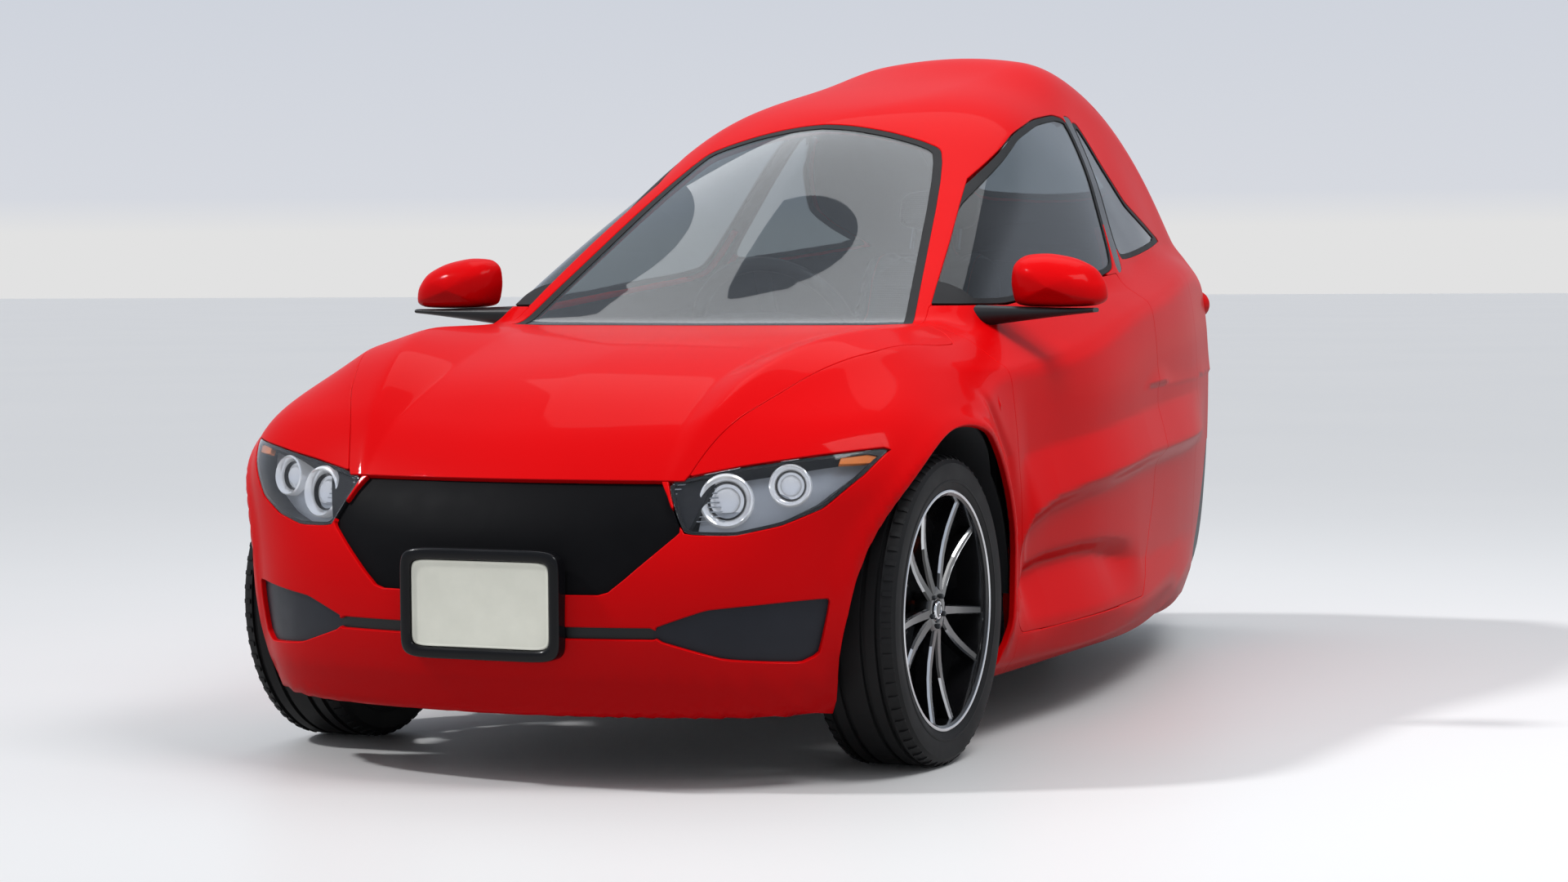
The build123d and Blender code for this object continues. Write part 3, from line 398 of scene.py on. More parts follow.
    def lid(self, x: Array, y: Array) -> tuple[Array, Array]:
        """Height and sideways slope of the hood, fenders and rear deck."""
        row = self.top(y)
        xs = [np.zeros(len(y))] + [row[:, c] for c in (1, 3, 5, 7)] + [np.full(len(y), TOP_EDGE_X)]
        zs = [row[:, 0]] + [row[:, c] for c in (2, 4, 6, 8)] + [row[:, 9]]
        slopes = [(zs[i + 1] - zs[i]) / (xs[i + 1] - xs[i]) for i in range(5)]
        height, slope, last = zs[0].copy(), np.zeros(len(y)), np.zeros(len(y))
        belt = step_up(y, -1.05, -0.62)
        radii = [*self.crease_radii[:4], self.crease_radii[4] + (self.belt_radius
            - self.crease_radii[4]) * belt]
        for at, pitch, radius in zip(xs, slopes, radii):
            away = x - at
            height += (pitch - last) * ramp(away, radius)
            slope += (pitch - last) * (1 + away / np.sqrt(away * away + radius * radius)) / 2
            last = pitch
        return height, slope

    def house(self, x: Array, y: Array, z: Array) -> Array:
        """Depth inside the cabin above the shoulders."""
        foot, side_x, side_z, edge_x, edge_z, crown = self.cabin(y).T

        def flank(x0: Array, z0: Array | float, x1: Array, z1: Array) -> Array:
            """Depth behind the straight wall between two corners."""
            run, rise = x0 - x1, z1 - z0
            return ((x0 - x) * rise - (z - z0) * run) / np.hypot(run, rise)

        fall = np.maximum(crown - edge_z, 0.004)
        slope = 2 * fall * x / edge_x**2
        roof = (crown - fall * (x / edge_x) ** 2 - z) / np.sqrt(1 + slope * slope + 0.10)
        walls = soft_min(flank(foot, CABIN_FOOT_Z, side_x, side_z), flank(side_x, side_z, edge_x, edge_z),
            self.side_corner)
        past = 3 * np.maximum(self.cabin.start + 0.02 - y, 0) + 9 * np.maximum(y - 1.455, 0)
        return np.minimum(soft_min(walls, roof, self.roof_corner), z - CABIN_FOOT_Z + 0.05) - past

    def depth(self, points: Array) -> Array:
        """Field of the whole body at points, which it takes as mirrored about the middle plane."""
        x, y, z = np.abs(points[:, 0]), points[:, 1], points[:, 2]
        height, slope = self.lid(x, y)
        top = (height - z) / np.sqrt(1 + slope * slope + 0.06)
        round_off = self.shoulder + (self.belt_shoulder - self.shoulder) * step_up(y, -1.05, -0.62)
        hull = soft_min(top, self.side(x, y, z), round_off)
        hull = soft_min(hull, z - LIP_Z, self.lip_round)
        return -soft_min(-hull, -self.house(x, y, z), self.fillet)

    def slope(self, points: Array) -> Array:
        """Outward unit normals of the field at points."""
        reach = 0.0015
        parts = []
        for axis in range(3):
            shift = np.zeros(3)
            shift[axis] = reach
            parts.append(self.depth(points - shift) - self.depth(points + shift))
        normal = np.stack(parts, 1)
        return normal / np.maximum(np.linalg.norm(normal, axis=1, keepdims=True), 1e-12)


@dataclass
class Sheet:
    """Open surface of flat faces with smooth normals at its corners."""

    points: Array
    normals: Array
    quads: Array
    others: list[list[int]] = field(default_factory=list)

    def clipped(self, rule: Field) -> "Sheet":
        """The part where a field is above zero, cut along the field's zero line.

        Args:
            rule: Field of an array of points.

        Returns:
            A new sheet.
        """
        depth = rule(self.points)
        depth[np.abs(depth) < 2e-4] = 0.0
        inside = depth >= 0
        count = inside[self.quads].sum(1)
        kept = self.quads[count == 4]
        mixed = self.quads[(count > 0) & (count < 4)].tolist() + self.others
        points, normals, cuts, others = [], [], {}, []
        total = len(self.points)
        for face in mixed:
            ring: list[int] = []
            for a, b in zip(face, face[1:] + face[:1]):
                if inside[a]:
                    ring.append(a)
                if inside[a] != inside[b] and depth[a] * depth[b] < 0:
                    key = (a, b) if a < b else (b, a)
                    if key not in cuts:
                        share = depth[key[0]] / (depth[key[0]] - depth[key[1]])
                        cuts[key] = total + len(points)
                        points.append(self.points[key[0]] + share * (self.points[key[1]]
                            - self.points[key[0]]))
                        normals.append(self.normals[key[0]] * (1 - share) + self.normals[key[1]] * share)
                    ring.append(cuts[key])
            if len(ring) > 2:
                others.append(ring)
        return Sheet(np.vstack([self.points] + points), np.vstack([self.normals] + normals), kept,
            others).packed()

    def cut(self, *rules: Field) -> "Sheet":
        """The part where every field is above zero."""
        sheet = self
        for rule in rules:
            sheet = sheet.clipped(rule)
        return sheet

    def packed(self) -> "Sheet":
        """The same sheet without unused corners."""
        used = np.unique(np.concatenate([self.quads.ravel()] + [np.array(f) for f in self.others]).astype(
            int))
        index = np.full(len(self.points), -1)
        index[used] = np.arange(len(used))
        normals = self.normals[used]
        normals = normals / np.maximum(np.linalg.norm(normals, axis=1, keepdims=True), 1e-9)
        return Sheet(self.points[used], normals, index[self.quads], [index[f].tolist() for f in self.others])

    def mirrored(self) -> "Sheet":
        """The sheet on the car's other side."""
        flip = np.array([-1, 1, 1])
        return Sheet(self.points * flip, self.normals * flip, self.quads[:, ::-1],
            [f[::-1] for f in self.others])

    def whole(self) -> "Sheet":
        """The sheet joined with its mirror image along the middle plane."""
        other, base = self.mirrored(), len(self.points)
        middle = np.abs(self.points[:, 0]) < 1e-6
        index = np.arange(base) + base
        index[middle] = np.nonzero(middle)[0]
        joined = Sheet(np.vstack([self.points, other.points]), np.vstack([self.normals, other.normals]),
            np.vstack([self.quads, index[other.quads]]),
            self.others + [index[f].tolist() for f in other.others])
        joined.normals[:base][middle, 0] = 0
        return joined.packed()

    def sunk(self, depth: float) -> "Sheet":
        """The sheet moved in along its normals."""
        return Sheet(self.points - self.normals * depth, self.normals, self.quads, self.others)

    def faces(self) -> list[list[int]]:
        """Every face as a list of corners."""
        return self.quads.tolist() + self.others


def skin_grid(form: BodyForm) -> Sheet:
    """Half of the body's skin, cast outwards from a line along the middle of the car.

    Args:
        form: The field whose zero surface is wanted.

    Returns:
        The half with x above or at zero, columns following the hood's creases and the roof's edges.
    """
    front, rear, low, pitch, lean_share = -1.05, 1.18, 0.50, 0.0085, 0.35
    lay_y = np.arange(front, rear + pitch / 2, pitch)
    turn = np.linspace(0, math.pi / 2, 64)[1:]
    rows = [(front, -math.sin(t), math.cos(t)) for t in turn[::-1]] + [(y, 0.0, 1.0) for y in lay_y]
    rows += [(rear, math.sin(t), math.cos(t)) for t in turn]
    rows_array = np.array(rows)

    stations = np.linspace(-1.43, -0.60, 120)
    table = form.top(stations)
    marks = []
    for column in (1, 3, 5):
        x = table[:, column]
        height = form.lid(x, stations)[0]
        back = np.maximum(front - stations, 0)
        lean = np.arctan2(back, np.hypot(x, height - low))
        place = np.where(stations < front, front - lean * lean_share, stations)
        marks.append((place, np.arctan2(x, height - low)))
    spots = np.linspace(-0.42, 1.1, 60)
    cab = form.cabin(spots)
    roof = [np.arctan2(cab[:, 3], cab[:, 4] - low), np.arctan2(cab[:, 1], cab[:, 2] - low),
        np.arctan2(cab[:, 0] - 0.01, 0.345 + 0.06 * spots)]
    place = np.where(rows_array[:, 1] < 0, front - np.arccos(np.clip(rows_array[:, 2], -1, 1)) * lean_share,
        np.where(rows_array[:, 1] > 0, rear, rows_array[:, 0]))
    knots = [np.zeros(len(rows))]
    for (at, angle), shape in zip(marks, roof):
        order = np.argsort(at)
        knots.append(np.interp(place, np.concatenate([at[order], spots]),
            np.concatenate([angle[order], shape])))
    shoulder = np.interp(place, [-1.1, -0.6, 1.2], [1.40, 1.30, 1.15])
    knots.append(np.maximum(shoulder, knots[-1] + 0.10))
    knots.append(np.full(len(rows), math.radians(112)))
    knots.append(np.full(len(rows), math.pi))
    counts = (28, 12, 18, 14, 50, 22)
    angles = np.concatenate([a[:, None] + (b - a)[:, None] * np.linspace(0, 1, n, endpoint=False) for a, b,
        n in zip(knots, knots[1:], counts)] + [knots[-1][:, None]], axis=1)
    angles = softened(softened(angles, 1, 1.2), 0, 2.0)
    angles[:, 0], angles[:, -1] = 0.0, math.pi

    tall, wide = angles.shape
    origin = np.zeros((tall, wide, 3))
    origin[..., 1], origin[..., 2] = rows_array[:, 0:1], low
    cosine = rows_array[:, 2:3]
    way = np.stack([np.sin(angles) * cosine, np.broadcast_to(rows_array[:, 1:2], angles.shape),
        np.cos(angles) * cosine], axis=2)
    origin, way = origin.reshape(-1, 3), way.reshape(-1, 3)
    near, far = np.full(len(way), 0.05), np.full(len(way), 1.3)
    for _ in range(34):
        middle = (near + far) / 2
        inside = form.depth(origin + way * middle[:, None]) > 0
        near, far = np.where(inside, middle, near), np.where(inside, far, middle)
    points = origin + way * ((near + far) / 2)[:, None]
    points.reshape(tall, wide, 3)[:, (0, -1), 0] = 0.0
    i, j = np.meshgrid(np.arange(tall - 1), np.arange(wide - 1), indexing="ij")
    corner = (i * wide + j).ravel()
    quads = np.stack([corner, corner + 1, corner + wide + 1, corner + wide], 1)
    return Sheet(points, form.slope(points), quads)


def add_piece(name: str, points: Array, faces: Sequence[Sequence[int]], finishes: Sequence[Material],
        indices: Sequence[int] | None = None, normals: Array | None = None) -> Object:
    """Object of one mesh, smooth shaded.

    Args:
        name: The piece's name.
        points: Corners in metres.
        faces: Corners of each face.
        finishes: Materials in slot order.
        indices: Material slot of each face.
        normals: Normal of each face's corner, in face order.

    Returns:
        The linked object.
    """
    mesh = bpy.data.meshes.new(name)
    mesh.from_pydata(np.asarray(points).tolist(), [], [list(f) for f in faces])
    for finish in finishes:
        mesh.materials.append(finish)
    if indices is not None:
        mesh.polygons.foreach_set("material_index", np.asarray(indices, np.int32))
    mesh.polygons.foreach_set("use_smooth", np.ones(len(mesh.polygons), bool))
    if normals is not None:
        mesh.normals_split_custom_set(normals)
    mesh.update()
    piece = bpy.data.objects.new(name, mesh)
    bpy.context.scene.collection.objects.link(piece)
    return piece


def panel_arrays(sheet: Sheet, thickness: float, edge: float) -> tuple[Array, list[list[int]], list[int],
        Array]:
    """Solid of a sheet with rounded edges and an inner face.

    Args:
        sheet: Outer surface.
        thickness: Distance from the outer to the inner face.
        edge: Radius of the outer edge.

    Returns:
        Points, faces, slot of each face (0 outside, 1 inside) and the normal of each face corner.
    """
    faces = sheet.faces()
    seen: dict[tuple[int, int], bool] = {}
    for face in faces:
        for a, b in zip(face, face[1:] + face[:1]):
            seen[(a, b)] = (b, a) in seen
            if (b, a) in seen:
                seen[(b, a)] = True
    rim = np.array([pair for pair, shared in seen.items() if not shared], int).reshape(-1, 2)
    count = len(sheet.points)
    away = np.zeros((count, 3))
    run = sheet.points[rim[:, 1]] - sheet.points[rim[:, 0]]
    for end in (0, 1):
        np.add.at(away, rim[:, end], np.cross(run, sheet.normals[rim[:, end]]))
    on_rim = np.unique(rim)
    place = np.full(count, -1)
    place[on_rim] = np.arange(len(on_rim))
    out = away[on_rim] / np.maximum(np.linalg.norm(away[on_rim], axis=1, keepdims=True), 1e-9)
    base, up = sheet.points[on_rim], sheet.normals[on_rim]
    points, normals = [sheet.points], [sheet.normals]
    size = len(on_rim)
    for angle in (30, 60, 90):
        s, c = math.sin(math.radians(angle)), math.cos(math.radians(angle))
        points.append(base + edge * (s * out - (1 - c) * up))
        normals.append(c * up + s * out)
    points.append(base + edge * out - thickness * up)
    normals.append(out)
    inner = sheet.points - sheet.normals * thickness
    points.append(inner)
    normals.append(-sheet.normals)
    first = count
    last = count + 4 * size
    slots = [0] * len(faces)
    solid = list(faces)
    tables = [np.arange(count)] + [place + first + size * k for k in range(4)]
    for low, high in zip(tables, tables[1:]):
        for a, b in rim.tolist():
            solid.append([int(low[b]), int(low[a]), int(high[a]), int(high[b])])
            slots.append(0)
    for a, b in rim.tolist():
        low = tables[-1]
        solid.append([int(low[b]), int(low[a]), a + last, b + last])
        slots.append(1)
    for face in faces:
        solid.append([i + last for i in face[::-1]])
        slots.append(1)
    stack = np.vstack(normals)
    corner = np.concatenate([np.array(f) for f in solid])
    return np.vstack(points), solid, slots, stack[corner]


# ---------------------------------------------------------------- finishes
def srgb(code: str) -> tuple[float, float, float, float]:
    """Linear colour of an sRGB hex value."""
    parts = [int(code[i : i + 2], 16) / 255 for i in (1, 3, 5)]
    return tuple(p / 12.92 if p <= 0.04045 else ((p + 0.055) / 1.055) ** 2.4 for p in parts) + (1.0,)


def feed(tree: NodeTree, node: Node, inputs: dict[str | int, object]) -> None:
    """Sets a node's inputs, by name or index, to values or to links from output sockets."""
    for key, value in inputs.items():
        if isinstance(value, NodeSocket):
            tree.links.new(value, node.inputs[key])
        else:
            node.inputs[key].default_value = value


def add_node(tree: NodeTree, kind: str, inputs: dict[str | int, object] | None = None,
        **settings: object) -> Node:
    """Node with its settings, values and incoming links.

    Args:
        tree: Tree that gets the node.
        kind: The node's type name.
        inputs: Value or output socket for inputs, by name or index.
        **settings: The node's own settings.

    Returns:
        The node.
    """
    made = tree.nodes.new(kind)
    for key, value in settings.items():
        setattr(made, key, value)
    feed(tree, made, inputs or {})
    return made


def new_material(name: str) -> tuple[Material, NodeTree, Node, NodeSocket]:
    """New material with its tree, its shader and the Object coordinates that its patterns read."""
    material = bpy.data.materials.new(name)
    material.use_nodes = True
    tree = material.node_tree
    place = add_node(tree, "ShaderNodeTexCoord").outputs["Object"]
    return material, tree, tree.nodes["Principled BSDF"], place


class Grain(Enum):
    """Kinds of fine surface pattern."""

    ORANGE_PEEL = "orange peel"
    MOULDED = "moulded"
    CAST = "cast"
    TURNED = "turned"
    WOVEN = "woven"
    HIDE = "hide"
    POLISHED = "polished"


@dataclass(frozen=True)
class Finish:
    """Opaque finish: two close colours, a fine bump pattern, a mottled roughness, optional painted shade and
    glow.
    """

    name: str
    colour: str
    second: str
    roughness: float
    grain: Grain
    grain_mm: float
    relief_mm: float = 0.05
    metallic: float = 0.0
    ior: float = 1.5
    coat: float = 0.0
    shine: float = 0.3
    mottle_mm: float = 60.0
    spread: float = 0.08
    sheen: float = 0.0
    # Emission in the finish's own colour: painted glow on parts that are no lamps.
    glow: float = 0.0
    # Darker colour mixed in on faces that turn down: painted shade.
    deep: str = ""

    def build(self) -> Material:
        """The material, made once."""
        if self.name in bpy.data.materials:
            return bpy.data.materials[self.name]
        material, tree, shader, place = new_material(self.name)
        node = partial(add_node, tree)
        cloud = node("ShaderNodeTexNoise", {"Vector": place, "Scale": 1000 / self.mottle_mm, "Detail": 4.0})
        colours = node("ShaderNodeMix", {0: cloud.outputs["Fac"], 6: srgb(self.colour), 7: srgb(self.second)},
            data_type="RGBA")
        dull = node("ShaderNodeMapRange", {"Value": cloud.outputs["Fac"],
            "To Min": max(self.roughness - self.spread, 0.02), "To Max": self.roughness + self.spread})
        relief = node("ShaderNodeBump", {"Height": self.pattern(tree, place), "Strength": 0.6,
            "Distance": self.relief_mm / 1000})
        # Painted shade: the colour darkens towards the deep colour as the face's normal turns down.
        if self.deep:
            normal = node("ShaderNodeNewGeometry").outputs["Normal"]
            facing = node("ShaderNodeSeparateXYZ", {0: normal})
            turned = node("ShaderNodeMapRange", {"Value": facing.outputs["Z"], "From Min": -0.30,
                "From Max": 0.42})
            colours = node("ShaderNodeMix", {0: turned.outputs["Result"], 6: srgb(self.deep),
                7: colours.outputs[2]}, data_type="RGBA")
        feed(tree, shader, {"Base Color": colours.outputs[2], "Roughness": dull.outputs["Result"],
            "Normal": relief.outputs["Normal"], "Metallic": self.metallic, "IOR": self.ior,
            "Coat Weight": self.coat, "Coat Roughness": 0.04, "Sheen Weight": self.sheen,
            "Specular IOR Level": 0.5 if self.metallic else self.shine})
        # Painted glow: the finish emits its own colour though the part is no lit lamp.
        if self.glow:
            feed(tree, shader, {"Emission Color": srgb(self.colour), "Emission Strength": self.glow})
        return material

    def pattern(self, tree: NodeTree, place: NodeSocket) -> NodeSocket:
        """Height of the fine pattern."""
        node = partial(add_node, tree)
        scale = 1000 / self.grain_mm
        if self.grain is Grain.WOVEN:
            waves = [node("ShaderNodeTexWave", {"Vector": place, "Scale": scale / 6.28, "Distortion": 0.4},
                bands_direction=way).outputs["Fac"] for way in ("X", "Y", "Z")]
            first = node("ShaderNodeMath", {0: waves[0], 1: waves[1]}, operation="MAXIMUM")
            return node("ShaderNodeMath", {0: first.outputs[0], 1: waves[2]}, operation="ADD").outputs[0]
        if self.grain is Grain.HIDE:
            return node("ShaderNodeTexVoronoi", {"Vector": place, "Scale": scale},
                feature="DISTANCE_TO_EDGE").outputs["Distance"]
        if self.grain is Grain.TURNED:
            return node("ShaderNodeTexWave", {"Vector": place, "Scale": scale / 6.28, "Distortion": 0.6},
                wave_type="RINGS", rings_direction="X").outputs["Fac"]
        detail = 2.0 if self.grain in (Grain.ORANGE_PEEL, Grain.POLISHED) else 8.0
        return node("ShaderNodeTexNoise", {"Vector": place, "Scale": scale, "Detail": detail}).outputs["Fac"]


@dataclass(frozen=True)
class Glazing:
    """Clear or tinted glass or plastic with faint smears in its gloss."""

    name: str
    tint: str
    roughness: float = 0.015
    ior: float = 1.5
    smear: float = 0.03

    def build(self) -> Material:
        """The material, made once."""
        if self.name in bpy.data.materials:
            return bpy.data.materials[self.name]
        material, tree, shader, place = new_material(self.name)
        smear = add_node(tree, "ShaderNodeTexNoise", {"Vector": place, "Scale": 7.0, "Detail": 5.0,
            "Distortion": 0.8})
        dull = add_node(tree, "ShaderNodeMapRange", {"Value": smear.outputs["Fac"], "From Min": 0.45,
            "From Max": 0.8, "To Min": self.roughness, "To Max": self.roughness + self.smear})
        feed(tree, shader, {"Roughness": dull.outputs["Result"], "Base Color": srgb(self.tint),
            "Transmission Weight": 1.0, "IOR": self.ior})
        return material


Finishes = Sequence[Finish | Glazing]

# Grains too fine to show are drawn coarser than in life, as coarse as they need: grain_mm is what is drawn.
# Three-stage car enamel, sprayed and clear-coated: red with a wet gloss and a faint orange peel; faces that
# turn down get a darker red painted in as shade.
RED_ENAMEL = Finish("red_car_enamel", "#E0070C", "#D40509", 0.34, Grain.ORANGE_PEEL, 9.0, 0.012, ior=1.07,
    coat=0.09, mottle_mm=400, spread=0.03, deep="#A00307")
# Piano-black ABS, injection moulded and lacquered: almost black with sharp reflections.
BLACK_LACQUER = Finish("black_lacquered_abs", "#0A0A0C", "#0E0E11", 0.20, Grain.ORANGE_PEEL, 12.0, 0.01,
    ior=1.3, coat=0.15)
# Black ABS with a fine spark-eroded texture: the grille panel, dark and nearly matt.
GRILLE_BLACK = Finish("textured_black_abs", "#0D0D0F", "#121214", 0.50, Grain.MOULDED, 2.5, 0.05, ior=1.15)
# Grained polypropylene, moulded in colour: dark grey and dull, with a fine leather-like texture.
GREY_MOULDING = Finish("grained_grey_polypropylene", "#3A3D42", "#32353A", 0.55, Grain.HIDE, 2.2, 0.10)
# Black moulded plastic of trims and mirror feet: satin, with a slight speckle.
BLACK_MOULDING = Finish("satin_black_polypropylene", "#101113", "#16181A", 0.42, Grain.MOULDED, 1.5, 0.06)
# EPDM rubber, extruded: soft black seals that barely shine.
SEAL_RUBBER = Finish("epdm_seal_rubber", "#0C0C0D", "#131314", 0.62, Grain.MOULDED, 3.0, 0.05)
# Tyre rubber, moulded: charcoal black, dull, with a dusty bloom.
TYRE_RUBBER = Finish("tyre_rubber", "#0D0D0E", "#161617", 0.60, Grain.CAST, 4.0, 0.12, shine=0.2, spread=0.12)
# Textured interior trim, moulded: dark grey with a fine grain.
CABIN_TRIM = Finish("grained_cabin_trim", "#24262A", "#1C1E22", 0.62, Grain.HIDE, 1.8, 0.10)
# Navy-tinted black mesh insert, moulded: reads as a dark blue-grey field.
INTAKE_PLASTIC = Finish("dark_navy_abs", "#10141F", "#0C1019", 0.48, Grain.MOULDED, 2.0, 0.08)
# Pressed aluminium sheet with baked white paint: warm off-white with faint blotches and a matt shine.
PLATE_ENAMEL = Finish("white_plate_enamel", "#E6E6DA", "#D3D4C8", 0.45, Grain.CAST, 18.0, 0.08, mottle_mm=45)
# Diamond-turned aluminium: bright silver edges with fine turning lines.
TURNED_ALUMINIUM = Finish("diamond_turned_aluminium", "#D9DADC", "#C4C6CA", 0.16, Grain.TURNED, 1.2, 0.02,
    metallic=1.0)
# Cast aluminium in black gloss lacquer: the wheel's body.
WHEEL_LACQUER = Finish("black_wheel_lacquer", "#0B0B0C", "#101012", 0.22, Grain.ORANGE_PEEL, 10.0, 0.02,
    coat=0.7)
# Vacuum-metallised plastic: mirror-bright reflectors and lamp rings.
BRIGHT_CHROME = Finish("metallised_chrome", "#E4E6E8", "#D6D9DC", 0.07, Grain.POLISHED, 30.0, 0.01,
    metallic=1.0, spread=0.03)
# Zinc-plated and painted steel of arms, brackets and links: dark, slightly metallic.
DARK_STEEL = Finish("painted_dark_steel", "#2A2C2F", "#36383B", 0.45, Grain.CAST, 6.0, 0.12, metallic=0.6)
# Ground cast iron of the brake discs: mid grey with fine circular grooves.
CAST_IRON = Finish("ground_cast_iron", "#77797C", "#5E6063", 0.34, Grain.TURNED, 1.5, 0.05, metallic=1.0)
# Caliper paint, brushed on cast iron: orange.
CALIPER_ORANGE = Finish("orange_caliper_paint", "#E2581A", "#C94A12", 0.38, Grain.CAST, 5.0, 0.10)
# Woven polyester seat cloth: charcoal with a visible weave and a soft sheen.
SEAT_CLOTH = Finish("woven_seat_cloth", "#26282C", "#34373C", 0.85, Grain.WOVEN, 2.4, 0.30, sheen=0.35)
# Stitched leatherette: near-black with a pebbled hide grain.
LEATHERETTE = Finish("black_leatherette", "#17181A", "#1E1F22", 0.50, Grain.HIDE, 2.0, 0.14, sheen=0.1)
# Welded and painted chassis sheet: matt black.
CHASSIS_PAINT = Finish("chassis_stone_guard", "#1A1B1D", "#232427", 0.70, Grain.CAST, 5.0, 0.20)
# Contrast thread: pale red polyester.
SEAT_THREAD = Finish("red_seat_thread", "#B01C1C", "#9C1414", 0.70, Grain.WOVEN, 0.8, 0.05)
# Laminated screen glass, grey tempered side glass and moulded polycarbonate: smooth and sharply glossy.
WINDOW_GLASS = Glazing("laminated_screen_glass", "#C2C9CC", 0.004, 1.52, 0.008)
SIDE_GLASS = Glazing("grey_tempered_glass", "#8C9498", 0.004, 1.30, 0.008)
LAMP_COVER = Glazing("clear_polycarbonate", "#F7F8FA", 0.0, 1.25, 0.0)
# ABS under bright silver lacquer: lamp rings with a painted glow, so they stay pale where little light
# reaches them.
LAMP_RING = Finish("silver_lacquered_abs", "#F4F5F7", "#E4E6EA", 0.14, Grain.POLISHED, 30.0, 0.01,
    metallic=0.45, coat=0.6, spread=0.03, glow=0.16)
# Satin silver-painted ABS of the lamp tray: light grey metal look with a soft shine and a faint painted glow.
LAMP_SILVER = Finish("satin_silver_abs", "#B4B8BE", "#A0A4AA", 0.30, Grain.MOULDED, 3.0, 0.03, metallic=0.3,
    glow=0.06)
# Tinted acrylic of the tail lamp: deep red and clear.
TAIL_LENS = Glazing("red_acrylic_lens", "#C8101A", 0.05, 1.49, 0.05)
# Amber acrylic marker with a pressed prism back.
AMBER_LENS = Finish("amber_acrylic_marker", "#FF9240", "#F47C22", 0.25, Grain.HIDE, 3.0, 0.08)


# ---------------------------------------------------------------- placing pieces
class Side(Enum):
    """The car's two sides, by the sign of x."""

    LEFT = 1
    RIGHT = -1

    @property
    def word(self) -> str:
        """The side's name in piece and body names."""
        return self.name.lower()


def settle(piece: Object, body: str, slot: str, *nodes: str) -> Object:
    """Lets a finished piece ride its body and stand for its CAD nodes.

    Args:
        piece: The finished object.
        body: The CAD body that carries it.
        slot: The record's material slot; not used.
        *nodes: CAD nodes that it replaces.

    Returns:
        The piece.
    """
    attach(piece, body)
    if nodes:
        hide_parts(*nodes)
    LOG.info("%s rides %s with %d faces", piece.name, body, len(piece.data.polygons))
    return piece


def mirrored_outline(points: Table) -> list[Pair]:
    """Closed outline of a half given from the middle outwards and back."""
    return [tuple(p) for p in points] + [(-x, y) for x, y in reversed(points) if x]


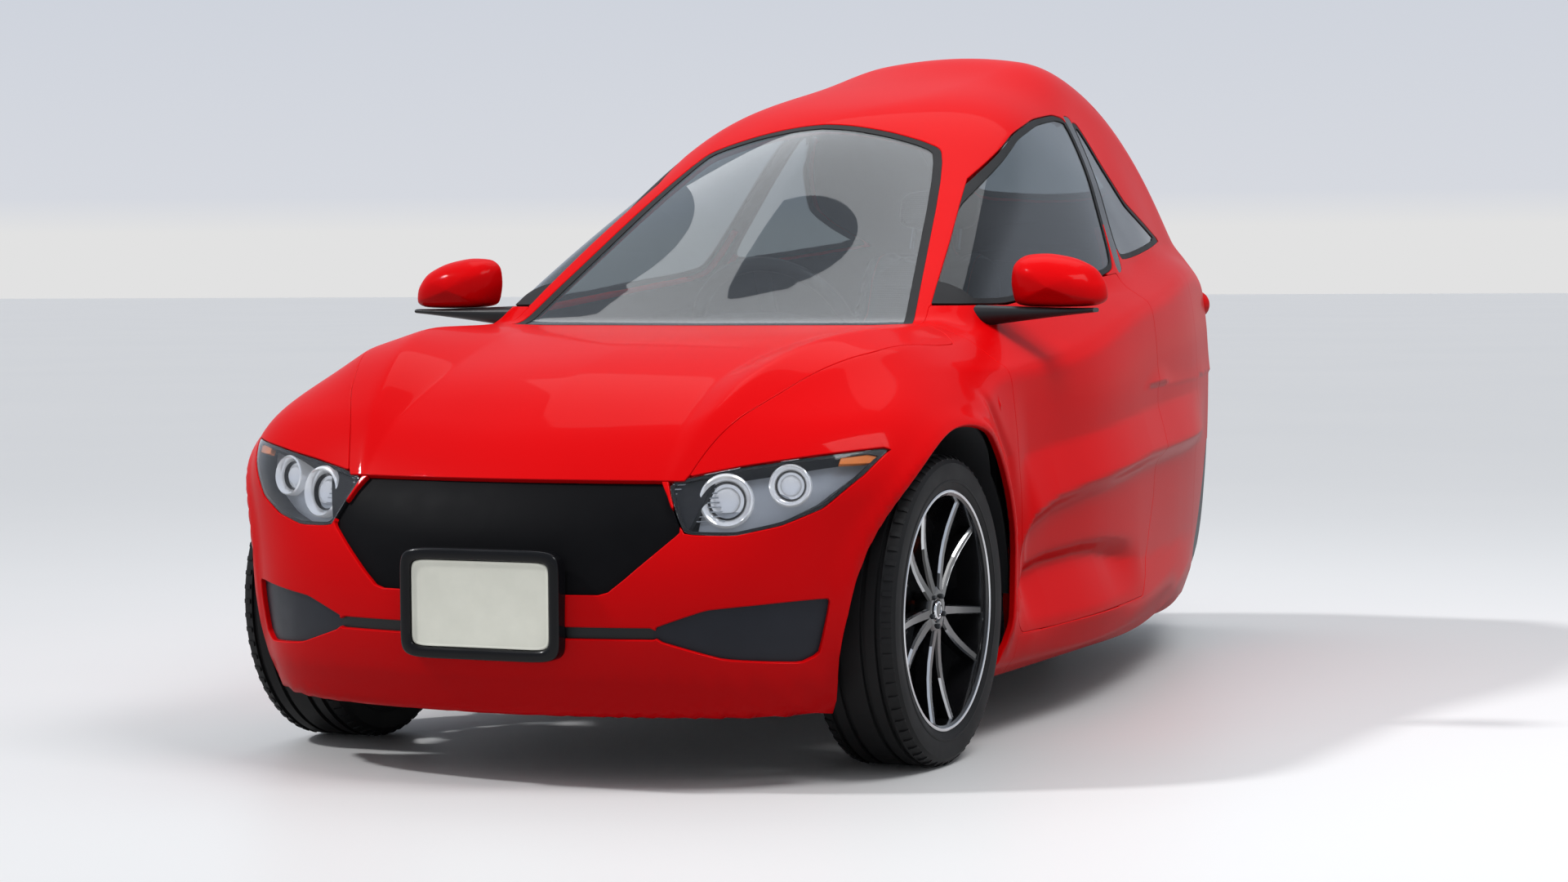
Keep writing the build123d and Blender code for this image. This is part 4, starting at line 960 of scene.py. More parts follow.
@dataclass
class Bodywork:
    """Painted panels, glass and openings of the body, all cut from one skin."""

    form: BodyForm
    skin_thick: float = 0.012
    wall_thick: float = 0.026
    glass_thick: float = 0.004
    glass_sunk: float = 0.0035
    seal_wide: float = 0.013
    grille_sunk: float = 0.009
    intake_sunk: float = 0.009
    under_wide: float = 0.045
    nose_y: float = -1.0
    tail_y: float = 1.0
    flank_x: float = 0.2
    unseen: float = -1.0
    half: Sheet = field(init=False)

    def __post_init__(self) -> None:
        """Casts the skin and rounds the outlines."""
        self.half = skin_grid(self.form)
        self.hood_line = rounded(mirrored_outline(HOOD), 2, 0.10)
        self.screen_line = rounded(WINDSHIELD, 3, 0.07)
        self.grille_line = rounded(GRILLE, 2, 0.025)
        self.lamp_line = rounded(LAMP, 2, 0.05)
        self.intake_line = rounded(INTAKE, 3, 0.05)
        self.slot_line = np.array(SLOT) / 1000
        self.door_glass_line = rounded(DOOR_WINDOW, 3, 0.12)
        self.quarter_line = rounded(QUARTER_WINDOW, 3, 0.12)
        self.rear_line = rounded(REAR_WINDOW, 3, 0.12)
        front, back = COWL_Y * 1000 + 4, DOOR_BACK_Y * 1000
        belt = [(back, BELT_LINE[-1][1])] + list(BELT_LINE[-2::-1]) + [(front, BELT_LINE[0][1])]
        self.door_line = rounded([(front, SILL_TOP * 1000)] + list(DOOR_HEEL[::-1]) + belt, 2, 0.03)

    # fields of the half skin, above zero on the part that is kept
    def plan(self, line: Array, gap: float = 0.0, sign: int = 1) -> Field:
        """Inside (or outside) an outline seen from above, clear of it by a gap."""
        return lambda p: sign * within(line, p[:, 0], p[:, 1]) - gap

    def front(self, line: Array, gap: float = 0.0, sign: int = 1) -> Field:
        """Inside (or outside) an outline seen from the front; everything behind the nose is outside."""
        return lambda p: sign * np.where(p[:, 1] < self.nose_y, within(line, p[:, 0], p[:, 2]),
            self.unseen) - gap

    def rear(self, line: Array, gap: float = 0.0, sign: int = 1) -> Field:
        """Inside (or outside) an outline seen from behind."""
        return lambda p: sign * np.where(p[:, 1] > self.tail_y, within(line, p[:, 0], p[:, 2]),
            self.unseen) - gap

    def flank(self, line: Array, gap: float = 0.0, sign: int = 1) -> Field:
        """Inside (or outside) an outline seen from the side, clear of the middle of the car."""
        return lambda p: sign * np.where(p[:, 0] > self.flank_x, within(line, p[:, 1], p[:, 2]),
            self.unseen) - gap

    def pillar_zone(self, p: Array) -> Array:
        """Outside the line that side windows keep from the windshield."""
        line = np.array(PILLAR_LINE) / 1000
        return p[:, 0] - np.interp(p[:, 1], line[:, 0], line[:, 1])

    def beside(self, line: Array) -> Field:
        """Outside a side window's outline or inside the pillar line."""
        return lambda p: np.maximum(-within(line, p[:, 1], p[:, 2]), -self.pillar_zone(p))

    def door_zone(self, gap: float, sign: int = 1) -> Field:
        """Inside (or outside) the door, which stays beside the windshield."""
        def rule(p: Array) -> Array:
            """Depth inside the door's outline and outboard of the pillar."""
            depth = np.minimum(within(self.door_line, p[:, 1], p[:, 2]), self.pillar_zone(p))
            return sign * np.where(p[:, 0] > self.flank_x, depth, self.unseen) - gap
        return rule

    def foot(self, p: Array) -> Array:
        """Keeps only a strip of the underside along its edge."""
        inward = self.form.side(np.abs(p[:, 0]), p[:, 1], p[:, 2])
        return np.where(p[:, 2] < LIP_Z + 0.02, self.under_wide - inward, 1.0)

    def arch(self, p: Array) -> Array:
        """Outside the front wheel's arch, which opens wider low down in front for the turned tyre."""
        room = 0.018 * (1 - step_up(p[:, 2], 0.20, 0.38)) * (p[:, 1] < AXLE_FRONT)
        away = np.hypot(p[:, 1] - AXLE_FRONT, p[:, 2] - TYRE_R - ARCH_RISE)
        return np.where(p[:, 0] > 0.3, away - ARCH_R - room, 1.0)

    def hood_zone(self, gap: float, sign: int = 1) -> Field:
        """Inside (or outside) the hood."""
        def rule(p: Array) -> Array:
            """Depth inside the hood's outline and above its front edge."""
            depth = np.minimum(within(self.hood_line, p[:, 0], p[:, 1]), p[:, 2] - HOOD_EDGE_Z)
            return sign * depth - gap
        return rule

    def hatch_zone(self, gap: float, sign: int = 1) -> Field:
        """Inside (or outside) the rear lid."""
        def rule(p: Array) -> Array:
            """Depth inside the lid's three straight edges."""
            depth = np.minimum.reduce([HATCH_HALF - p[:, 0], p[:, 1] - HATCH_TOP_Y, p[:, 2] - HATCH_EDGE_Z])
            return sign * depth - gap
        return rule

    def tail_lamp_zone(self, p: Array) -> Array:
        """Outside the round tail lamp's hole."""
        return np.where(p[:, 1] > 1.2, np.hypot(p[:, 0] - TAIL_LAMP_X, p[:, 2] - TAIL_LAMP_Z) - TAIL_LAMP_R
            - 0.003, 1.0)

    def panel(self, name: str, sheet: Sheet, thickness: float, finishes: Finishes,
            edge: float = EDGE_ROUND) -> Object:
        """Solid panel of a sheet: the first finish outside, the last inside."""
        points, faces, slots, normals = panel_arrays(sheet, thickness, edge)
        last = len(finishes) - 1
        return add_piece(name, points, faces, [f.build() for f in finishes], [s * last for s in slots],
            normals)

    def paired(self, name: str, sheet: Sheet, thickness: float, finishes: Finishes, body: str, slot: str,
            nodes: str = "", edge: float = EDGE_ROUND) -> None:
        """One panel on each side; names ending in a dash get the side's word.

        Args:
            name: Name without its side.
            sheet: The left panel's surface.
            thickness: Wall thickness.
            finishes: Outer and inner finish.
            body: Body name, with * for the side.
            slot: Material slot.
            nodes: CAD node names, with * for the side, split by spaces; a plain name is replaced once.
            edge: Radius of the outer edge.
        """
        for side in Side:
            shape = sheet if side is Side.LEFT else sheet.mirrored()
            piece = self.panel(f"{name}_{side.word}", shape, thickness, finishes, edge)
            known = [n.replace("*", side.word) for n in nodes.split() if "*" in n or side is Side.LEFT]
            settle(piece, body.replace("*", side.word), slot, *known)

    def single(self, name: str, sheet: Sheet, thickness: float, finishes: Finishes, body: str, slot: str,
            nodes: str = "", edge: float = EDGE_ROUND) -> None:
        """One panel that crosses the middle of the car, given as for paired."""
        settle(self.panel(name, sheet, thickness, finishes, edge), body, slot, *nodes.split())

    def build(self) -> None:
        """Makes every panel."""
        self.pillar_trim_line = rounded(((460, 872), (530, 884), (602, 1065), (652, 1226), (594, 1232),
            (540, 1065)), 2, 0.1)
        self.cladding_line = rounded(CLADDING, 2, 0.1)
        waist = self.half.cut(lambda p: p[:, 1] - COWL_Y + 0.02)
        self.build_nose(self.half.cut(lambda p: COWL_Y + 0.02 - p[:, 1]))
        self.build_side(waist.cut(lambda p: p[:, 0] - 0.25))
        self.build_cabin(waist)

    def build_nose(self, nose: Sheet) -> None:
        """Hood, fenders, bumper, grille and intakes."""
        gap, seam, sealed = SHUT_GAP / 2, SEAM_GAP / 2, (RED_ENAMEL, CHASSIS_PAINT)
        self.single("hood_skin", nose.cut(self.hood_zone(gap)).whole(), 0.020, sealed, "hood", "paint",
            "hood")
        fender = nose.cut(self.hood_zone(gap, -1), lambda p: p[:, 1] - FENDER_FRONT_Y - seam,
            lambda p: COWL_Y + 0.004 - gap - p[:, 1], self.arch, self.front(self.lamp_line, gap, -1),
            self.foot)
        self.paired("fender_skin", fender, self.skin_thick, sealed, "car_body", "paint", "front_fender_*")
        bumper = nose.cut(lambda p: FENDER_FRONT_Y - seam - p[:, 1], self.hood_zone(gap, -1), self.arch,
            self.front(self.grille_line, 0.001, -1), self.front(self.lamp_line, gap, -1),
            self.front(self.intake_line, 0.0, -1), self.front(self.slot_line, 0.0, -1), self.foot)
        self.single("bumper_skin", bumper.whole(), self.intake_sunk + 0.003, sealed, "car_body", "paint",
            "front_bumper")
        grille = nose.cut(self.front(self.grille_line, 0.0)).sunk(self.grille_sunk).whole()
        self.single("grille_face", grille, 0.005, (GRILLE_BLACK,), "car_body", "grille", "grille_panel",
            TRIM_ROUND)
        intake = nose.cut(self.front(self.intake_line, -0.002)).sunk(self.intake_sunk)
        self.paired("intake_face", intake, 0.004, (INTAKE_PLASTIC,), "car_body", "intake", "intake_grilles",
            TRIM_ROUND)
        slot = nose.cut(self.front(self.slot_line, -0.002)).sunk(self.intake_sunk).whole()
        self.single("intake_slot", slot, 0.004, (BLACK_MOULDING,), "car_body", "intake", "", TRIM_ROUND)

    def build_side(self, flank: Sheet) -> None:
        """Doors, side windows with their seals, and the trim between them."""
        beside = flank.cut(self.pillar_zone)
        door = flank.cut(self.door_zone(SHUT_GAP / 2))
        self.paired("door_skin", door, self.wall_thick, (RED_ENAMEL, CABIN_TRIM), "door_*", "paint",
            "door_panel_*")
        pane = beside.cut(self.flank(self.door_glass_line, 0.004))
        glazed = pane.cut(lambda p: p[:, 1] + 0.440)
        self.paired("door_pane", glazed.sunk(self.glass_sunk), self.glass_thick, (SIDE_GLASS,), "door_*",
            "glass", "door_glass_*", PANE_ROUND)
        frame_part = pane.cut(lambda p: np.maximum(self.seal_wide - within(self.door_glass_line, p[:, 1],
            p[:, 2]), -0.428 - p[:, 1]))
        self.paired("door_window_frame", frame_part.sunk(0.0012), 0.009, (SEAL_RUBBER,), "door_*", "trim", "",
            TRIM_ROUND)
        quarter = beside.cut(self.flank(self.quarter_line, 0.003))
        self.paired("quarter_pane", quarter.sunk(self.glass_sunk), self.glass_thick, (SIDE_GLASS,),
            "car_body", "glass", "quarter_glass", PANE_ROUND)
        rim = quarter.cut(lambda p: self.seal_wide - within(self.quarter_line, p[:, 1], p[:, 2]))
        self.paired("quarter_window_frame", rim.sunk(0.0012), 0.009, (SEAL_RUBBER,), "car_body", "trim", "",
            TRIM_ROUND)
        pillar = beside.cut(self.flank(self.door_glass_line, 0.001, -1), self.flank(self.quarter_line, 0.0,
            -1), self.flank(self.pillar_trim_line, 0.0), lambda p: 1.226 - p[:, 2])
        self.paired("divider_trim", pillar.sunk(0.0008), 0.010, (BLACK_LACQUER,), "car_body", "trim")

    def build_cabin(self, waist: Sheet) -> None:
        """Windshield, cabin shell, hatch, sills and the cladding round the rear wheel."""
        gap, seam, trimmed = SHUT_GAP / 2, SEAM_GAP / 2, (RED_ENAMEL, CABIN_TRIM)
        screen = waist.cut(self.plan(self.screen_line, 0.003), lambda p: p[:, 2] - 0.78)
        self.single("windshield_pane", screen.sunk(0.003).whole(), 0.005, (WINDOW_GLASS,), "car_body",
            "glass", "windshield", TRIM_ROUND)
        frit = screen.cut(lambda p: 0.020 - within(self.screen_line, p[:, 0], p[:, 1])).sunk(0.0015).whole()
        self.single("windshield_seal", frit, 0.010, (SEAL_RUBBER,), "car_body", "trim", "", TRIM_ROUND)

        def sill_zone(p: Array) -> Array:
            """Outside the sill below the door."""
            return np.maximum(p[:, 2] - SILL_TOP, p[:, 1] - DOOR_BACK_Y) - seam

        windows = (self.door_glass_line, self.quarter_line, self.pillar_trim_line)
        shell = waist.cut(lambda p: p[:, 1] - COWL_Y - gap, self.door_zone(gap, -1), sill_zone,
            *(self.beside(line) for line in windows), self.plan(self.screen_line, 0.0, -1),
            self.hatch_zone(gap, -1), lambda p: -within(self.cladding_line, p[:, 1], p[:, 2]) - seam,
            self.tail_lamp_zone, self.foot)
        self.single("cab_skin", shell.whole(), self.wall_thick, trimmed, "car_body", "paint",
            "cab_shell windshield_frame tail_shell")
        hatch = waist.cut(self.hatch_zone(gap), self.rear(self.rear_line, 0.0, -1)).whole()
        self.single("hatch_skin", hatch, 0.020, trimmed, "hatch", "paint", "hatch_panel")
        back_glass = waist.cut(self.hatch_zone(gap), self.rear(self.rear_line, 0.003))
        self.single("rear_pane", back_glass.sunk(0.003).whole(), 0.004, (WINDOW_GLASS,), "hatch", "glass",
            "rear_glass", TRIM_ROUND)
        back_seal = back_glass.cut(lambda p: self.seal_wide - within(self.rear_line, p[:, 0], p[:, 2]))
        self.single("rear_window_seal", back_seal.sunk(0.001).whole(), 0.008, (SEAL_RUBBER,), "hatch", "trim",
            "", TRIM_ROUND)
        sill = waist.cut(lambda p: p[:, 1] - COWL_Y - 0.004 - seam, lambda p: DOOR_BACK_Y - seam - p[:, 1],
            lambda p: SILL_TOP - seam - p[:, 2], self.foot)
        self.paired("sill_skin", sill, self.wall_thick, (RED_ENAMEL, CHASSIS_PAINT), "car_body", "paint",
            "sills")
        cladding = self.half.cut(lambda p: p[:, 1] - 0.9, lambda p: within(self.cladding_line, p[:, 1],
            p[:, 2]) - seam, self.foot)
        self.single("rear_cladding_skin", cladding.sunk(0.001).whole(), 0.020, (GREY_MOULDING,), "car_body",
            "cladding", "rear_cladding")


# ---------------------------------------------------------------- mesh shapes
def subdivide(piece: Object, levels: int = 1) -> None:
    """Smooths a piece by live subdivision."""
    tool = piece.modifiers.new("smoothing", "SUBSURF")
    tool.levels = tool.render_levels = levels


def evaluated(piece: Object) -> Object:
    """The piece as its modifiers leave it."""
    return piece.evaluated_get(bpy.context.evaluated_depsgraph_get())


@dataclass
class Shape:
    """Loose collection of faces that becomes one piece."""

    points: list[Sequence[float]] = field(default_factory=list)
    faces: list[list[int]] = field(default_factory=list)
    slots: list[int] = field(default_factory=list)

    def add(self, points: Array, faces: Sequence[Sequence[int]], slot: int = 0) -> "Shape":
        """Adds faces with their own corners to the shape."""
        base = len(self.points)
        self.points.extend(np.asarray(points, float).tolist())
        self.faces.extend([[i + base for i in face] for face in faces])
        self.slots.extend([slot] * len(faces))
        return self

    def loft(self, rings: Sequence[Array], slot: int = 0, ends: bool = True, loop: bool = False) -> "Shape":
        """Skin through closed rings of equally many corners.

        Args:
            rings: The rings in order.
            slot: Material slot.
            ends: Whether the first and last ring are closed.
            loop: Whether the last ring joins the first.

        Returns:
            The shape.
        """
        count, tall = len(rings[0]), len(rings)
        faces = []
        for i in range(tall if loop else tall - 1):
            j = (i + 1) % tall
            for k in range(count):
                n = (k + 1) % count
                faces.append([i * count + k, i * count + n, j * count + n, j * count + k])
        if ends and not loop:
            faces += [list(range(count))[::-1], [(tall - 1) * count + k for k in range(count)]]
        return self.add(np.vstack(rings), faces, slot)

    def turn(self, profile: Sequence[Pair], centre: Sequence[float], axis: Sequence[float], slot: int = 0,
            steps: int = 64, loop: bool = False) -> "Shape":
        """Shape turned about an axis.

        Args:
            profile: Radius and distance along the axis of each corner.
            centre: A point of the axis.
            axis: The axis's direction.
            slot: Material slot.
            steps: Corners of each ring.
            loop: Whether the profile is closed.

        Returns:
            The shape.
        """
        way = Vector(axis).normalized()
        first = way.orthogonal().normalized()
        second = way.cross(first)
        angle = np.linspace(0, 2 * math.pi, steps, endpoint=False)
        spin = np.outer(np.cos(angle), first) + np.outer(np.sin(angle), second)
        rings = [np.array(centre) + max(r, 1e-5) * spin + along * np.array(way) for r, along in profile]
        return self.loft(rings, slot, ends=not loop, loop=loop)

    def box(self, low: Sequence[float], high: Sequence[float], slot: int = 0) -> "Shape":
        """Rectangular block between two corners."""
        (a, b, c), (d, e, f) = low, high
        rings = [np.array([(a, b, z), (d, b, z), (d, e, z), (a, e, z)]) for z in (c, f)]
        return self.loft(rings, slot)

    def tube(self, path: Table, radius: float | Sequence[float], slot: int = 0, steps: int = 12) -> "Shape":
        """Round bar along a path."""
        line = np.array(path, float)
        radii = np.broadcast_to(radius, len(line))
        rings, side = [], None
        for i, point in enumerate(line):
            way = Vector(line[min(i + 1, len(line) - 1)] - line[max(i - 1, 0)]).normalized()
            side = way.orthogonal().normalized() if side is None else (side
                - side.dot(way) * way).normalized()
            other = way.cross(side)
            angle = np.linspace(0, 2 * math.pi, steps, endpoint=False)
            rings.append(point + radii[i] * (np.outer(np.cos(angle), side) + np.outer(np.sin(angle), other)))
        return self.loft(rings, slot)

    def to_side(self, side: Side) -> "Shape":
        """Moves a shape made for the left to its own side."""
        self.points = [(x * side.value, y, z) for x, y, z in self.points]
        return self

    def piece(self, name: str, finishes: Finishes, sharp: float = 38.0, bevel: float = 0.0,
            smooth: int = 0) -> Object:
        """The finished object.

        Args:
            name: Piece name.
            finishes: Finish of each slot.
            sharp: Angle in degrees above which an edge stays sharp.
            bevel: Width of a rounded bevel on sharp edges.
            smooth: Levels of subdivision.

        Returns:
            The object, its faces pointing outwards.
        """
        piece = add_piece(name, self.points, self.faces, [f.build() for f in finishes], self.slots)
        work = bmesh.new()
        work.from_mesh(piece.data)
        bmesh.ops.remove_doubles(work, verts=work.verts, dist=2e-5)
        bmesh.ops.dissolve_degenerate(work, edges=work.edges, dist=1e-6)
        bmesh.ops.recalc_face_normals(work, faces=work.faces)
        for edge in work.edges:
            if len(edge.link_faces) == 2:
                edge.smooth = edge.calc_face_angle(0.0) < math.radians(sharp)
        work.to_mesh(piece.data)
        work.free()
        if bevel:
            tool = piece.modifiers.new("edge_rounding", "BEVEL")
            tool.width, tool.segments, tool.limit_method, tool.angle_limit = bevel, 2, "ANGLE", math.radians(
                sharp)
            tool.harden_normals = True
        if smooth:
            subdivide(piece, smooth)
        return piece


def oval(centre: Sequence[float], u: Sequence[float], v: Sequence[float], power: float = 2.0,
        steps: int = 32) -> Array:
    """Ring of a rounded rectangle or ellipse.

    Args:
        centre: Its middle.
        u: First half axis.
        v: Second half axis.
        power: Two for an ellipse, more for squarer corners.
        steps: Corners of the ring.

    Returns:
        The ring's corners.
    """
    angle = np.linspace(0, 2 * math.pi, steps, endpoint=False)
    c, s = np.cos(angle), np.sin(angle)
    a = np.sign(c) * np.abs(c) ** (2 / power)
    b = np.sign(s) * np.abs(s) ** (2 / power)
    return np.array(centre) + np.outer(a, u) + np.outer(b, v)


class Layout(Enum):
    """How a repeated shape is laid out."""

    RING = "ring"
    ROW = "row"
    PATH = "path"


@dataclass
class Repeater:
    """Geometry Nodes tree that repeats one small shape."""

    layout: Layout

    def tree(self) -> NodeTree:
        """The tree with its named inputs, made once for each layout."""
        name = f"repeat_in_{self.layout.value}"
        if name in bpy.data.node_groups:
            return bpy.data.node_groups[name]
        tree = bpy.data.node_groups.new(name, "GeometryNodeTree")
        node = partial(add_node, tree)
        face = tree.interface
        face.new_socket("Geometry", in_out="INPUT", socket_type="NodeSocketGeometry")
        face.new_socket("Finish", in_out="INPUT", socket_type="NodeSocketMaterial")
        face.new_socket("Geometry", in_out="OUTPUT", socket_type="NodeSocketGeometry")
        wanted = {Layout.RING: (("Count", "Int"), ("Radius", "Float"), ("Centre", "Vector"),
            ("Turn", "Vector")), Layout.ROW: (("Count", "Int"), ("Start", "Vector"), ("Step", "Vector"),
            ("Turn", "Vector")), Layout.PATH: (("Path", "Object"), ("Pitch", "Float")),}[self.layout]
        for label, kind in wanted:
            face.new_socket(label, in_out="INPUT", socket_type=f"NodeSocket{kind}")
        given = node("NodeGroupInput").outputs
        if self.layout is Layout.RING:
            spots = node("GeometryNodeMeshCircle", {"Vertices": given["Count"], "Radius": given["Radius"]})
            index = node("GeometryNodeInputIndex").outputs[0]
            share = node("ShaderNodeMath", {0: index, 1: given["Count"]}, operation="DIVIDE")
            angle = node("ShaderNodeMath", {0: share.outputs[0], 1: 2 * math.pi}, operation="MULTIPLY")
            turn = node("ShaderNodeCombineXYZ", {"Z": angle.outputs[0]}).outputs[0]
            points = spots.outputs["Mesh"]
        elif self.layout is Layout.ROW:
            spots = node("GeometryNodeMeshLine", {"Count": given["Count"], "Start Location": given["Start"],
                "Offset": given["Step"]}, mode="OFFSET")
            turn, points = given["Turn"], spots.outputs["Mesh"]
        else:
            line = node("GeometryNodeObjectInfo", {"Object": given["Path"]}).outputs["Geometry"]
            curve = node("GeometryNodeMeshToCurve", {"Mesh": line}).outputs["Curve"]
            spots = node("GeometryNodeCurveToPoints", {"Curve": curve, "Length": given["Pitch"]},
                mode="LENGTH")
            turn, points = spots.outputs["Rotation"], spots.outputs["Points"]
        copies = node("GeometryNodeInstanceOnPoints", {"Points": points, "Instance": given["Geometry"],
            "Rotation": turn}).outputs[0]
        real = node("GeometryNodeRealizeInstances", {"Geometry": copies}).outputs[0]
        if self.layout is Layout.RING:
            real = node("GeometryNodeTransform", {"Geometry": real, "Translation": given["Centre"],
                "Rotation": given["Turn"]}).outputs[0]
        painted = node("GeometryNodeSetMaterial", {"Geometry": real, "Material": given["Finish"]})
        node("NodeGroupOutput", {"Geometry": painted.outputs[0]})
        return tree

    def run(self, template: Object, finish: Finish, **values: object) -> Object:
        """Repeats a template and returns the result as a plain mesh in the template's place.

        Args:
            template: The small shape, made about the origin.
            finish: Finish of the result.
            **values: The tree's inputs, by name.

        Returns:
            The finished object.
        """
        tree = self.tree()
        tool = template.modifiers.new("repeat", "NODES")
        tool.node_group = tree
        sockets = {item.name: item.identifier for item in tree.interface.items_tree if item.in_out == "INPUT"}
        tool[sockets["Finish"]] = finish.build()
        for label, value in values.items():
            tool[sockets[label]] = value
        bpy.context.view_layer.update()
        mesh = bpy.data.meshes.new_from_object(evaluated(template))
        template.modifiers.remove(tool)
        old, template.data = template.data, mesh
        mesh.name = template.name
        bpy.data.meshes.remove(old)
        return template


# ---------------------------------------------------------------- lamps, mirrors and small outside pieces
@dataclass
class Headlamp:
    """Front lamp: ribbed wedge, two ringed projectors, an amber marker and a clear cover."""

    body: Bodywork
    depth: float = 0.050
    cover_thick: float = 0.003
    wedge_x: float = 0.366
    amber_x: float = 0.575
    inner: Triple = (0.407, 0.499, 0.047)
    outer: Triple = (0.505, 0.524, 0.037)
    aim: Triple = (0.34, -1.0, 0.10)

    def surface_y(self, x: float, z: float) -> float:
        """Station of the skin ahead of a point given from the front."""
        low, high = -1.7, -0.9
        for _ in range(40):
            middle = (low + high) / 2
            inside = self.body.form.depth(np.array([[x, middle, z]]))[0] > 0
            low, high = (low, middle) if inside else (middle, high)
        return high

    def projector(self, shape: Shape, lens: Shape, spot: Triple) -> None:
        """Adds one ringed projector and its lens."""
        x, z, r = spot
        way = Vector(self.aim).normalized()
        face = Vector((x, self.surface_y(x, z), z)) - way * 0.017
        ring = [(r * 0.99, -0.034), (r * 1.01, -0.006), (r * 0.98, 0.000), (r * 0.92, 0.002),
            (r * 0.84, -0.001), (r * 0.76, -0.007), (r * 0.70, -0.014), (r * 0.70, -0.036)]
        shape.turn(ring, face, way, 0, 56, loop=True)
        collar = [(r * 0.70, -0.012), (r * 0.68, -0.011), (r * 0.64, -0.015), (r * 0.60, -0.022),
            (r * 0.60, -0.036), (r * 0.70, -0.036)]
        shape.turn(collar, face, way, 1, 56, loop=True)
        bowl = [(r * 0.64, -0.019), (r * 0.50, -0.026), (r * 0.30, -0.031), (r * 0.10, -0.033), (0, -0.033),
            (0, -0.036), (r * 0.64, -0.036)]
        shape.turn(bowl, face, way, 0, 56)
        dome = [(r * 0.52, -0.026), (r * 0.50, -0.019), (r * 0.40, -0.012), (r * 0.25, -0.0075),
            (r * 0.10, -0.0055), (0, -0.0052)]
        lens.turn(dome, face, way, 0, 40)

    def build(self) -> None:
        """Makes both lamps."""
        line, gap = self.body.lamp_line, SHUT_GAP / 2
        zone = self.body.half.cut(lambda p: -0.95 - p[:, 1], self.body.front(line, gap))
        rim = zone.cut(lambda p: 0.004 - within(line, p[:, 0], p[:, 2]) + gap)
        core = zone.cut(lambda p: within(line, p[:, 0], p[:, 2]) - 0.004 - gap)
        tray = core.cut(lambda p: p[:, 0] - self.wedge_x)
        wedge = core.cut(lambda p: self.wedge_x - p[:, 0] + 0.35 * (p[:, 2] - 0.49))
        marker = core.cut(lambda p: p[:, 0] - self.amber_x, lambda p: p[:, 2] - 0.562)
        # The tray's finish carries a faint painted glow, and the projector rings' finish a stronger one.
        for label, sheet, sunk, thick, finish, nodes, edge in (("cover", zone, 0.001, self.cover_thick,
                LAMP_COVER, "headlamp_*", 0.0012), ("rim", rim, 0.0045, self.depth, BLACK_MOULDING, "",
                PANE_ROUND), ("tray", tray, 0.040, 0.006, LAMP_SILVER, "", PANE_ROUND),
                ("wedge", wedge, 0.010, 0.022, CABIN_TRIM, "", 0.0012), ("marker", marker, 0.008, 0.010,
                AMBER_LENS, "", 0.0012)):
            self.body.paired(f"headlamp_{label}", sheet.sunk(sunk), thick, (finish,), "car_body", "lamp",
                nodes, edge)
        for side in Side:
            shape, lens = Shape(), Shape()
            for spot in (self.inner, self.outer):
                self.projector(shape, lens, spot)
            settle(shape.to_side(side).piece(f"headlamp_rings_{side.word}", (LAMP_RING, BLACK_LACQUER), 30),
                "car_body", "lamp")
            settle(lens.to_side(side).piece(f"headlamp_lenses_{side.word}", (LAMP_COVER,)), "car_body",
                "lamp")
            rib = Shape().tube([(-0.034, 0.0, 0.0), (0.0, -0.0205, 0.0), (0.030, -0.031, 0.001)], 0.0012, 0,
                8)
            rib.points = [(x * side.value, -y, z) for x, y, z in rib.points]
            ribs = rib.piece(f"headlamp_ribs_{side.word}", (LAMP_SILVER,))
            Repeater(Layout.ROW).run(ribs, LAMP_SILVER, Count=10, Start=(0.343 * side.value, -1.3915, 0.532),
                Step=(0.0028 * side.value, -0.0011, -0.0078))
            settle(ribs, "car_body", "lamp")


@dataclass
class TailLamp:
    """Round tail lamp: a red domed lens over a reflector, in a bright ring."""

    reach: float = 0.014
    seat_y: float = 1.462

    def build(self) -> None:
        """Makes both tail lamps."""
        for side in Side:
            centre, axis = (TAIL_LAMP_X * side.value, self.seat_y, TAIL_LAMP_Z), (0.30 * side.value, 1.0,
                0.12)
            r = TAIL_LAMP_R
            lens = Shape().turn([(0, self.reach + 0.016), (r * 0.35, self.reach + 0.014),
                (r * 0.65, self.reach + 0.009), (r * 0.86, self.reach), (r * 0.93, self.reach - 0.010),
                (r * 0.93, -0.004), (r * 0.6, -0.002), (0, -0.001)], centre, axis, 0, 48)
            settle(lens.piece(f"tail_lens_{side.word}", (TAIL_LENS,), 50), "car_body", "tail_lamp",
                *(("tail_lamps",) if side is Side.LEFT else ()))
            bowl = Shape().turn([(r * 0.92, -0.005), (r * 0.6, -0.010), (r * 0.3, -0.014), (0, -0.015),
                (0, -0.018), (r * 0.98, -0.018)], centre, axis, 0, 48)
            bowl.turn([(r * 0.95, -0.018), (r * 0.95, self.reach - 0.004), (r * 0.98, self.reach - 0.001),
                (r * 1.03, self.reach - 0.004), (r * 1.04, -0.018)], centre, axis, 1, 48, loop=True)
            settle(bowl.piece(f"tail_reflector_{side.word}", (BRIGHT_CHROME, RED_ENAMEL), 40), "car_body",
                "tail_lamp")


